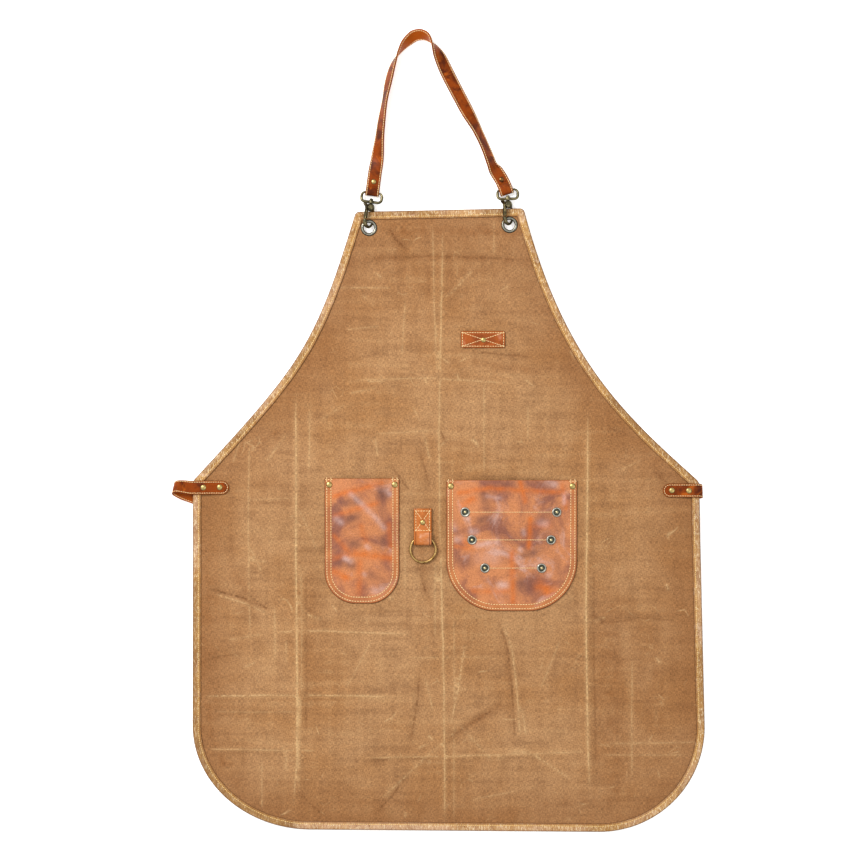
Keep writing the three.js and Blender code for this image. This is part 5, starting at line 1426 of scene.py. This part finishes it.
# %% Bib tab
def bib_tab():
    half_w, half_h = (CHEST_TAB["right"] - CHEST_TAB["left"]) / 2, (CHEST_TAB["top"] - CHEST_TAB["bottom"]) / 2
    x, y = CHEST_TAB["left"] + half_w, CHEST_TAB["bottom"] + half_h
    base, wall = float(cloth_top(y)) + WALL["gap"], WALL["tab"]
    loops, edge, under = [], [], []
    section = ((6.0, 0.0, 1.0), (0.5, 0.0, 1.0), (0.0, 0.5, 1.0), (0.0, wall - 0.6, 0.0), (0.2, wall - 0.2, 0.0),
               (0.7, wall, 0.0), (1.5, wall, 0.0), (2.2, wall - 0.15, 0.0), (2.9, wall, 0.0),
               (6.0, wall + 0.05, 0.0), (10.5, wall + 0.1, 0.0))
    for inset, z, below in section:
        ring = flat_ring(half_w - inset, half_h - inset, max(2.5 - inset, 0.3))
        loops.append([(x + a, y + b, base + z) for a, b in ring])
        edge += [inset] * len(ring)
        under += [below] * len(ring)
    made = build("bib_tab", *skin(loops), BIB_TAB, {"edge": edge, "under": under}, 50.0)
    return place(made, "strap_leather", "chest_tab")


bib_tab()
print("bib tab made")

# %% [markdown]
# ## Grommets
# A grommet is two turned rings pressed together through the canvas: a rounded flange in front, a flat one behind
# and a barrel between them. A closed profile turned about its axis gives it in one piece.

# %% Grommets
def grommet(side):
    snap, front = SNAPS[side], WALL["canvas"] / 2 + 0.1
    profile = [(7.0, -front - 0.4), (7.4, -front - 0.6), (9.6, -front - 0.6), (10.0, -front - 0.3), (9.8, -front),
               (7.8, -front), (7.8, front), (11.1, front), (11.4, front + 0.2), (11.1, front + 0.75),
               (10.3, front + 1.2), (9.2, front + 1.4), (8.1, front + 1.2), (7.3, front + 0.6), (7.0, front - 0.2)]
    matrix = Matrix.Translation((snap["x"], snap["y"], float(cloth_top(snap["y"])) - WALL["canvas"] / 2))
    points, faces = turned(profile, 48, True)
    away = np.hypot(points[:, 0], points[:, 1])
    made = build(f"{side}_grommet", *moved((points, faces), matrix), GROMMET, {"round": away})
    return place(made, "nickel", f"grommet_{side}")


grommets = [grommet(side) for side in SNAPS]
print("grommets:", [made.name for made in grommets])

# %% [markdown]
# ## Snap hooks
# Each snap hook has a cast hook on a round body, a loop that turns on the body's neck, and a sprung lever between
# two ears that closes the mouth. The lever swings in the model, so it rides a body of its own. Plates get a small
# bevel, because a sharp metal edge never catches the light.

# %% Plates and cuts
def plate(outline, low, high, bevel):
    """A flat plate between two heights, with its edges rounded by a bevel."""
    outline = np.asarray(outline, float)
    run = np.roll(outline, -1, 0) - np.roll(outline, 1, 0)
    out = unit(np.stack([run[:, 1], -run[:, 0]], axis=1))
    area = np.sum(outline[:, 0] * np.roll(outline[:, 1], -1) - np.roll(outline[:, 0], -1) * outline[:, 1])
    out = out if area > 0 else -out
    loops = []
    for inset, z in ((bevel, low), (0.3 * bevel, low + 0.3 * bevel), (0.0, low + bevel), (0.0, high - bevel),
                     (0.3 * bevel, high - 0.3 * bevel), (bevel, high)):
        loops.append(np.column_stack([outline - out * inset, np.full(len(outline), z)]))
    return skin(loops)


def cut(body, tool):
    """The first body less the second."""
    made = [in_scene("cut", closed_mesh("cut", *shape)) for shape in (body, tool)]
    modifier = made[0].modifiers.new("cut", "BOOLEAN")
    modifier.object, modifier.operation, modifier.solver = made[1], "DIFFERENCE", "EXACT"
    ready = made[0].evaluated_get(bpy.context.evaluated_depsgraph_get())
    mesh = bpy.data.meshes.new_from_object(ready)
    result = np.array([tuple(v.co) for v in mesh.vertices]), [tuple(p.vertices) for p in mesh.polygons]
    for scrap in made:
        bpy.data.objects.remove(scrap)
    return result


def arc(x, y, radius, start, end, count):
    turn = np.radians(np.linspace(start, end, count))
    return np.stack([x + radius * np.cos(turn), y + radius * np.sin(turn)], axis=1)


print("plates and cuts ready")

# %% [markdown]
# ## Snap hook parts
# The hook is a wire that thins to its tip, on a turned body with a slot for the lever between two ears. The lever is
# a plate with a bored eye, a thumb piece and a cheek. The loop is a bent wire on a collar that turns on the neck.

# %% Snap hook parts
ABOUT_Y = Matrix.Rotation(math.radians(-90.0), 4, "X")
EAR = {"x": -5.5, "y": 28.0, "r": 2.7}
PIN_R = 1.0


def hook_body():
    line = np.concatenate([[(-8.1, 11.8)], arc(0.0, 9.3, 8.1, 180.0, 360.0, 17),
                           [(8.1, 17.0), (7.8, 22.5), (6.0, 26.0), (3.0, 29.0)]])
    line = eased(np.column_stack([line, np.zeros(len(line))]), 0.7)
    from_tip = np.arange(len(line)) * 0.7
    radius = np.interp(line[:, 0], (-8.1, 0.0, 8.1), (2.8, 2.1, 1.5))
    radius = radius * np.sqrt(1 - (1 - np.clip((from_tip + 0.15) / 2.0, 0.0, 1.0)) ** 2)
    turned_body = turned([(0, 23.0), (3.4, 23.0), (4.8, 23.5), (5.7, 24.6), (6.1, 26.4), (6.0, 28.2), (5.5, 30.0),
                          (4.7, 31.8), (3.4, 33.2), (1.6, 33.5), (1.4, 33.8), (1.4, 38.4), (1.7, 38.6), (2.5, 38.7),
                          (2.75, 39.3), (2.5, 40.2), (1.5, 40.8), (0, 41)], 32)
    slot = (np.array([(x, y, z) for x in (-14, -2.9) for y in (20, 34) for z in (-2, 2)], float),
            [(0, 1, 3, 2), (4, 6, 7, 5), (0, 4, 5, 1), (2, 3, 7, 6), (0, 2, 6, 4), (1, 5, 7, 3)])
    body = cut(moved(turned_body, ABOUT_Y), slot)
    ear = np.concatenate([[(-1.0, 25.3), (-1.0, 30.7)], arc(EAR["x"], EAR["y"], EAR["r"], 90.0, 270.0, 13)])
    ears = [plate(ear, low, high, 0.35) for low, high in ((2.0, 3.3), (-3.3, -2.0))]
    pin = turned([(0, -3.7), (0.8, -3.6), (1.3, -3.3), (PIN_R, -3.2), (PIN_R, 3.2),
                  (1.3, 3.3), (0.8, 3.6), (0, 3.7)], 20)
    return together(wire(line, radius), body, *ears, moved(pin, Matrix.Translation((EAR["x"], EAR["y"], 0.0))))


def gate_lever():
    arm_low = [(-10.3, 12.5), (-6.3, 12.5), (-6.3, 17.0), (-6.3, 21.5)]
    eye = arc(EAR["x"], EAR["y"], 2.2, -28.6, 90.0, 9)
    wing = [(-7.0, 30.2), (-9.6, 31.9), (-12.2, 33.6), (-13.0, 32.4), (-11.0, 30.2), (-9.0, 28.0), (-10.0, 20.0)]
    lever = plate(np.concatenate([arm_low, eye, wing]), -1.7, 1.7, 0.4)
    bore = turned([(0, -4), (PIN_R + 0.3, -4), (PIN_R + 0.3, 4), (0, 4)], 20)
    thumb = plate([(-8.8, 31.0), (-9.9, 32.1), (-12.3, 33.6), (-13.0, 32.4), (-11.1, 30.3),
                   (-10.0, 29.2)], -3.0, 3.0, 0.5)
    cheek = plate([(-10.4, 12.3), (-6.5, 12.3), (-6.5, 22.3), (-9.4, 23.2), (-10.2, 19.0)], -1.6, 2.9, 0.9)
    return together(cut(lever, moved(bore, Matrix.Translation((EAR["x"], EAR["y"], 0.0)))), thumb, cheek)


def strap_loop():
    pitch = math.atan2(SNAP["z"] - SNAP["bar_z"], SNAP["bar_y"] - SNAP["collar_y"])
    half_w = SNAP["loop_wide"] / 2 - SNAP["bar_r"]
    half_h = (SNAP["loop_tall"] / 2 - SNAP["bar_r"]) / math.cos(pitch)
    ring = flat_ring(half_w, half_h, 4.8, 8)
    path = resampled(np.concatenate([ring, ring[:1]]), 0.9)[:-1]
    thick = SNAP["bar_r"] + 0.4 * smooth(0.75 * half_h, 0.2 * half_h, path[:, 1])
    loop = wire(np.column_stack([path, np.zeros(len(path))]), thick, 14, True)
    middle = (0.0, (SNAP["bar_y"] + SNAP["collar_y"]) / 2, (SNAP["bar_z"] - SNAP["z"]) / 2)
    tilt = Matrix.Translation(middle) @ Matrix.Rotation(-pitch, 4, "X")
    boss = turned([(1.75, 33.8), (3.4, 33.8), (4.2, 34.3), (4.4, 36.0), (4.2, 37.7), (3.4, 38.2),
                   (1.75, 38.2)], 28, True)
    return together(moved(loop, tilt), moved(boss, ABOUT_Y))


print("snap hook parts ready")

# %% Snap hooks in place
def snap_hook(side):
    snap = SNAPS[side]
    hang = (Matrix.Translation((snap["x"], snap["y"], SNAP["z"])) @ Matrix.Rotation(math.radians(snap["lean"]), 4, "Z")
            @ Matrix.Translation((SNAP["shift"], 0.0, 0.0)))
    tilt = hang @ Matrix.Rotation(math.radians(SNAP["tilt"]), 4, "Y")
    pieces = (("loop", strap_loop, hang, BRASS, "apron"), ("hook", hook_body, tilt, BRASS, "apron"),
              ("gate", gate_lever, tilt, LEVER_BRASS, f"gate_{side}"))
    return [place(build(f"{side}_{part}", *moved(shape(), matrix), finish, sharp=45.0), "antique_brass",
                  f"snap_{part}_{side}", body=body) for part, shape, matrix, finish, body in pieces]


hooks = [made for side in SNAPS for made in snap_hook(side)]
print("snap hooks:", [made.name for made in hooks])

# %% [markdown]
# ## Rivets and studs
# A rivet is the same dome many times over, at places that differ only in where they are, which way is up and how
# big the head is. So the heads are points with `up` and `size`, and one Geometry Nodes tree puts a copy of a turned
# source on each point. The studs and the washers behind the rivets use the same tree with other sources.

# %% Fasteners on points
def fastener_tree():
    tree, given, put = group_of(
        "Fasteners on points",
        [("Points", "Geometry", None), ("Source", "Object", None), ("Finish", "Material", None)],
        [("Geometry", "Geometry")], "GeometryNodeTree")
    up = node(tree, "GeometryNodeInputNamedAttribute", {"Name": "up"}, data_type="FLOAT_VECTOR")
    size = node(tree, "GeometryNodeInputNamedAttribute", {"Name": "size"}, data_type="FLOAT")
    turn = node(tree, "FunctionNodeAlignRotationToVector", {"Vector": up.outputs["Attribute"]}, axis="Z")
    source = node(tree, "GeometryNodeObjectInfo", {"Object": given["Source"]})
    copies = node(tree, "GeometryNodeInstanceOnPoints",
                  {"Points": given["Points"], "Instance": source.outputs["Geometry"],
                   "Rotation": turn.outputs["Rotation"], "Scale": size.outputs["Attribute"]})
    whole = node(tree, "GeometryNodeRealizeInstances", {"Geometry": copies.outputs["Instances"]})
    painted = node(tree, "GeometryNodeSetMaterial",
                   {"Geometry": whole.outputs["Geometry"], "Material": given["Finish"]})
    put("Geometry", painted.outputs["Geometry"])
    return tree


def grown(name, mesh, tree, **values):
    """A plain mesh from a tree that works on a mesh, with its inputs set by name."""
    made = in_scene(name, mesh)
    modifier = made.modifiers.new("nodes", "NODES")
    modifier.node_group = tree
    for item in tree.interface.items_tree:
        if item.in_out == "INPUT" and item.name in values:
            modifier[item.identifier] = values[item.name]
    ready = made.evaluated_get(bpy.context.evaluated_depsgraph_get())
    plain = bpy.data.meshes.new_from_object(ready)
    made.modifiers.clear()
    made.data = plain
    return made


def fasteners(name, places, profile, material):
    """places are rows of point, way up and size; profile is turned at the size of 1."""
    mesh = bpy.data.meshes.new(name)
    mesh.from_pydata([tuple(np.array(point) * MM) for point, _, _ in places], [], [])
    ups = np.array([up for _, up, _ in places], float).ravel()
    sizes = np.array([size for _, _, size in places], float)
    mesh.attributes.new("up", "FLOAT_VECTOR", "POINT").data.foreach_set("vector", ups)
    mesh.attributes.new("size", "FLOAT", "POINT").data.foreach_set("value", sizes)
    points, faces = turned(profile, 28)
    source = build(f"{name}_source", points, faces, material, {"round": np.hypot(points[:, 0], points[:, 1])})
    made = grown(name, mesh, FASTENERS, Source=source, Finish=material)
    bpy.data.objects.remove(source)
    return made


FASTENERS = fastener_tree()
print("fastener tree:", len(FASTENERS.nodes), "nodes")

# %% Rivets
RIVET_R = {"head": 3.8, "waist": 4.1, "pocket": 4.3, "tab": 3.7}


def way_up(height, x, y):
    """The normal of a height over the plan."""
    step = 0.5
    dx = float(height(x + step, y) - height(x - step, y))
    dy = float(height(x, y + step) - height(x, y - step))
    return unit((-dx, -dy, 2 * step))


def lying(x, y):
    return cloth_top(y)


def rivet_places():
    rows = []
    for node_name, x, y, seat in (
        ("waist_rivet_left_outer", -327.0, -80.0, HIGH), ("waist_rivet_left_inner", -304.5, -79.6, LOW),
        ("waist_rivet_right_outer", 347.0, -84.3, HIGH), ("waist_rivet_right_inner", 323.4, -84.0, LOW),
    ):
        rows.append((node_name, x, y, seat + HALF_THICK, RIVET_R["waist"], CANVAS_LOW + float(lift(y))))
    for name, pocket in (("small", SMALL), ("large", LARGE)):
        for hand, x in (("left", pocket["left"] + 6.3), ("right", pocket["right"] - 6.3)):
            y = pocket["top"] - 8.6
            rows.append((f"pocket_{name}_rivet_{hand}", x, y, float(pocket_top(pocket, x, y)), RIVET_R["pocket"],
                         CANVAS_LOW + float(lift(y))))
    for node_name, x, y, layers in (("ring_tab_rivet", -22.6, -128.4, 2), ("chest_tab_rivet", 61.9, 125.0, 1)):
        seat = float(cloth_top(y)) + layers * (WALL["gap"] + WALL["tab"])
        rows.append((node_name, x, y, seat, RIVET_R["tab"], CANVAS_LOW + float(lift(y))))
    for side, snap in SNAPS.items():
        x, y, _ = on_snap(snap, TAIL["rivet"])
        rows.append((f"neck_rivet_{side}", x, y, TAIL["flat"] + HALF_THICK, TAIL["rivet_r"], TAIL["z"] - HALF_THICK))
    return rows


RIVET_HEAD = [(0, -0.25), (3.5, -0.25), (3.8, 0.05), (3.78, 0.35), (3.5, 0.75), (2.9, 1.15),
              (2.0, 1.48), (1.0, 1.68), (0, 1.74)]
WASHER = [(0, -0.7), (2.7, -0.7), (3.0, -0.45), (3.0, -0.2), (2.8, 0.0), (0, 0.0)]
rivets = rivet_places()
heads, washers = {}, []
for rivet_name, x, y, seat, r, under in rivets:
    up = (0.0, 0.0, 1.0) if rivet_name.startswith(("neck", "waist")) else tuple(way_up(lying, x, y))
    heads[rivet_name] = ((x, y, seat), up, r / RIVET_R["head"])
    washers.append(((x, y, under), up, 1.0))
# this rivet's dark finish is painted shade
shaded_rivets = ["neck_rivet_right"]
for piece, finish, names in (("rivet_heads", RIVET_BRASS, [name for name in heads if name not in shaded_rivets]),
                             ("dull_rivet_head", SHADED_RIVET_BRASS, shaded_rivets)):
    made = fasteners(piece, [heads[name] for name in names], RIVET_HEAD, finish)
    place(made, "antique_brass", *names)
    print(piece, "with", len(made.data.polygons), "faces")
rivet_washers = fasteners("rivet_washers", washers, WASHER, RIVET_BRASS)
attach(rivet_washers, "apron")
print("rivets:", len(rivets))

# %% [markdown]
# A stud is a cap pressed into the hide: a bright rim, a dark groove round it and a worn centre. The turned source
# carries each point's distance from its axis, which the finish uses to darken the groove.

# %% Studs
STUD = [(0, -0.3), (6.4, -0.3), (6.7, 0.1), (6.7, 0.6), (6.45, 1.2), (5.9, 1.5), (5.2, 1.45), (4.6, 1.15),
        (4.2, 0.9), (3.0, 0.85), (2.1, 0.95), (1.9, 1.6), (1.5, 2.2), (0.8, 2.5), (0, 2.58)]
STUD_ROWS = {1: (-114.0, 36.4, 163.3), 2: (-152.6, 45.9, 155.5), 3: (-191.8, 63.7, 142.5)}


def large_face(x, y):
    return pocket_top(LARGE, x, y)


stud_places, stud_nodes = [], []
for row, (y, left, right) in STUD_ROWS.items():
    for hand, x in (("left", left), ("right", right)):
        stud_places.append(((x, y, float(large_face(x, y))), tuple(way_up(large_face, x, y)), 1.0))
        stud_nodes.append(f"pocket_stud_{row}_{hand}")
place(fasteners("pocket_studs", stud_places, STUD, STUD_METAL), "nickel", *stud_nodes)
print("studs:", len(stud_places))

# %% [markdown]
# ## Stitches
# A seam is a path along a surface with the surface's normal stored on its points. A Geometry Nodes tree turns the
# path into a curve, sets points along it at the stitch's pitch, and lays a small rounded stitch on each, turned
# along the seam and lying flat. A fixed seed varies the turn and the length a little, as in hand-fed work.

# %% Stitch tree
def stitch_tree():
    tree, given, put = group_of(
        "Stitches along a seam",
        [("Seam", "Geometry", None), ("Pitch", "Float", 0.0042), ("Length", "Float", 0.003),
         ("Thickness", "Float", 0.0009), ("Seed", "Int", 7), ("Thread", "Material", None)],
        [("Geometry", "Geometry")], "GeometryNodeTree")
    curve = node(tree, "GeometryNodeMeshToCurve", {"Mesh": given["Seam"]})
    spots = node(tree, "GeometryNodeCurveToPoints", {"Curve": curve.outputs["Curve"], "Length": given["Pitch"]},
                 mode="LENGTH")
    up = node(tree, "GeometryNodeInputNamedAttribute", {"Name": "up"}, data_type="FLOAT_VECTOR")
    turn = node(tree, "FunctionNodeAxesToRotation",
                {"Primary Axis": up.outputs["Attribute"], "Secondary Axis": spots.outputs["Tangent"]},
                primary_axis="Z", secondary_axis="X")
    lean = node(tree, "FunctionNodeRandomValue", {2: -0.14, 3: 0.14, "Seed": given["Seed"]}, data_type="FLOAT")
    skew = node(tree, "ShaderNodeCombineXYZ", {"Z": lean.outputs[1]})
    around = node(tree, "FunctionNodeRotateRotation",
                  {"Rotation": turn.outputs["Rotation"], "Rotate By": skew.outputs["Vector"]}, rotation_space="LOCAL")
    vary = node(tree, "FunctionNodeRandomValue", {2: 0.86, 3: 1.08, "Seed": given["Seed"]}, data_type="FLOAT")
    long = times(tree, given["Length"], vary.outputs[1])
    size = node(tree, "ShaderNodeCombineXYZ", {"X": long, "Y": given["Thickness"], "Z": given["Thickness"]})
    bead = node(tree, "GeometryNodeMeshUVSphere", {"Segments": 8, "Rings": 5, "Radius": 0.5})
    copies = node(tree, "GeometryNodeInstanceOnPoints",
                  {"Points": spots.outputs["Points"], "Instance": bead.outputs["Mesh"],
                   "Rotation": around.outputs["Rotation"], "Scale": size.outputs["Vector"]})
    whole = node(tree, "GeometryNodeRealizeInstances", {"Geometry": copies.outputs["Instances"]})
    soft = node(tree, "GeometryNodeSetShadeSmooth", {"Geometry": whole.outputs["Geometry"]})
    painted = node(tree, "GeometryNodeSetMaterial", {"Geometry": soft.outputs["Geometry"], "Material": given["Thread"]})
    put("Geometry", painted.outputs["Geometry"])
    return tree


STITCHES = stitch_tree()
print("stitch tree:", len(STITCHES.nodes), "nodes")

# %% Seams on pockets and tabs
def on_surface(plan, height, rise=0.0):
    plan = np.asarray(plan, float)
    z = np.array([float(height(x, y)) for x, y in plan]) + rise
    return np.column_stack([plan, z]), np.array([way_up(height, x, y) for x, y in plan])


def pocket_seams(pocket):
    def face(x, y):
        return pocket_top(pocket, x, y)
    for inset in POCKET_SEAMS:
        seams["pocket"].append(on_surface(pocket_outline(pocket, inset), face))
    for x in (pocket["left"], pocket["right"]):
        inward = 1.0 if x == pocket["left"] else -1.0
        tack = [(x + inward * inset, pocket["top"] - 1.6) for inset in np.linspace(2.0, 9.6, 5)]
        seams["pocket"].append(on_surface(tack, face))


def box_seam(left, right, bottom, top, height, bare):
    """A sewn box with a cross, which leaves a bare round place for the rivet in its middle."""
    corners = [(left, bottom), (right, bottom), (right, top), (left, top), (left, bottom)]
    for a, b in zip(corners, corners[1:]):
        seams["tab"].append(on_surface(resampled([a, b], 1.5), height))
    middle = np.array(((left + right) / 2, (bottom + top) / 2))
    for corner in corners[:4]:
        way = unit(np.array(corner) - middle)
        line = [middle + way * bare, np.array(corner) - way * 1.5]
        seams["tab"].append(on_surface(resampled(line, 1.5), height))


def fold_tab_face(x, y):
    return cloth_top(y) + 2 * (WALL["gap"] + WALL["tab"])


def bib_tab_face(x, y):
    return cloth_top(y) + WALL["gap"] + WALL["tab"]


pocket_seams(SMALL)
pocket_seams(LARGE)
for y, left, right in STUD_ROWS.values():
    seams["stud"].append(on_surface(resampled([(left + 7.5, y), (right - 7.5, y)], 2.0), large_face, 0.1))
BARE = 4.2  # round each rivet, the cross leaves this much unsewn
box_seam(RING_TAB["left"] + RING_SEAM, RING_TAB["right"] - RING_SEAM, -139.5, -112.4, fold_tab_face, BARE)
box_seam(CHEST_TAB["left"] + BIB_SEAM, CHEST_TAB["right"] - BIB_SEAM,
         CHEST_TAB["bottom"] + BIB_SEAM, CHEST_TAB["top"] - BIB_SEAM, bib_tab_face, BARE)
print("seams:", {kind: len(paths) for kind, paths in seams.items()})

# %% Stitches along the seams
def sew(kind, pitch, length, thickness, thread=THREAD):
    points, ups, edges = [], [], []
    for path, up in seams[kind]:
        start = len(points)
        points += (np.asarray(path) * MM).tolist()
        ups += np.asarray(up, float).tolist()
        edges += [(start + i, start + i + 1) for i in range(len(path) - 1)]
    mesh = bpy.data.meshes.new(f"{kind}_stitches")
    mesh.from_pydata(points, edges, [])
    mesh.attributes.new("up", "FLOAT_VECTOR", "POINT").data.foreach_set("vector", np.array(ups).ravel())
    made = grown(f"{kind}_stitches", mesh, STITCHES, Pitch=pitch * MM, Length=length * MM,
                 Thickness=thickness * MM, Thread=thread)
    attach(made, "apron")
    return made


sewn = [sew("binding", 3.0, 2.8, 1.1, GOLD_THREAD), sew("pocket", 3.7, 3.6, 1.2), sew("strap", 3.3, 3.3, 1.0),
        sew("tab", 3.4, 3.6, 1.05), sew("stud", 2.3, 2.5, 0.95)]
print("stitches:", {made.name: len(made.data.polygons) // 40 for made in sewn})

# %% [markdown]
# ## Cloth area
# The canvas is a laid sheet. Because the cut isn't a rectangle, its flat area is measured from the fill above.

# %% Cloth area
print("declared a sheet of", round(canvas_area, 3), "m2")

# %% [markdown]
# ## Table, light and camera
# The apron lies on a plain white table under a wide soft light, seen from straight above. A large lamp a little to
# one side lets the folds cast a faint shade, and the white surround fills it.

# %% Table, light and camera
TABLE_HALF, TABLE_TOP = 12.0, -0.0004  # metres
SENSOR, LENS = 36.0, 119.4  # millimetres
CAMERA_AT = (-0.0076, -0.0049, 4.0)  # metres, looking straight down
MIDDLE = (0.0, 0.0, 0.0)


def table():
    mesh = bpy.data.meshes.new("table")
    corners = [(x * TABLE_HALF, y * TABLE_HALF, TABLE_TOP) for x, y in ((-1, -1), (1, -1), (1, 1), (-1, 1))]
    mesh.from_pydata(corners, [], [(0, 1, 2, 3)])
    made, tree, shader, where = finish_of("white_table")
    white = blend(tree, cloud(tree, where, 6.0), paint("#fbfaf8"), paint("#f7f6f4"))
    tree.links.new(white, shader.inputs["Base Color"])
    shader.inputs["Emission Color"].default_value = (1.0, 1.0, 1.0, 1.0)
    shader.inputs["Emission Strength"].default_value = 0.45
    shader.inputs["Roughness"].default_value = 0.9
    shader.inputs["Specular IOR Level"].default_value = 0.1
    mesh.materials.append(made)
    in_scene("table", mesh)


def lamp(name, place_at, aim, size, power):
    data = bpy.data.lights.new(name, "AREA")
    data.shape, data.size, data.energy = "DISK", size, power
    made = in_scene(name, data)
    made.location = place_at
    made.rotation_euler = (Vector(aim) - Vector(place_at)).to_track_quat("-Z", "Y").to_euler()


def surround(strength):
    world = bpy.data.worlds.new("surround")
    world.use_nodes = True
    tree = world.node_tree
    way = node(tree, "ShaderNodeSeparateXYZ", {"Vector": tree.nodes.new("ShaderNodeTexCoord").outputs["Generated"]})
    sky = between(tree, way.outputs["Z"], 0.0, 1.0, 0.35 * strength, 1.25 * strength)
    tree.nodes["Background"].inputs["Color"].default_value = (1.0, 1.0, 1.0, 1.0)
    tree.links.new(sky, tree.nodes["Background"].inputs["Strength"])
    bpy.context.scene.world = world


def camera():
    data = bpy.data.cameras.new("camera")
    data.sensor_width, data.lens = SENSOR, LENS
    made = in_scene("camera", data)
    made.location = CAMERA_AT
    bpy.context.scene.camera = made


table()
surround(0.74)
lamp("key_light", (-1.6, 1.3, 2.2), MIDDLE, size=1.4, power=80.0)
lamp("fill_light", (1.8, -0.6, 2.4), MIDDLE, size=2.0, power=16.0)
camera()
bpy.context.scene.view_settings.view_transform = "Standard"
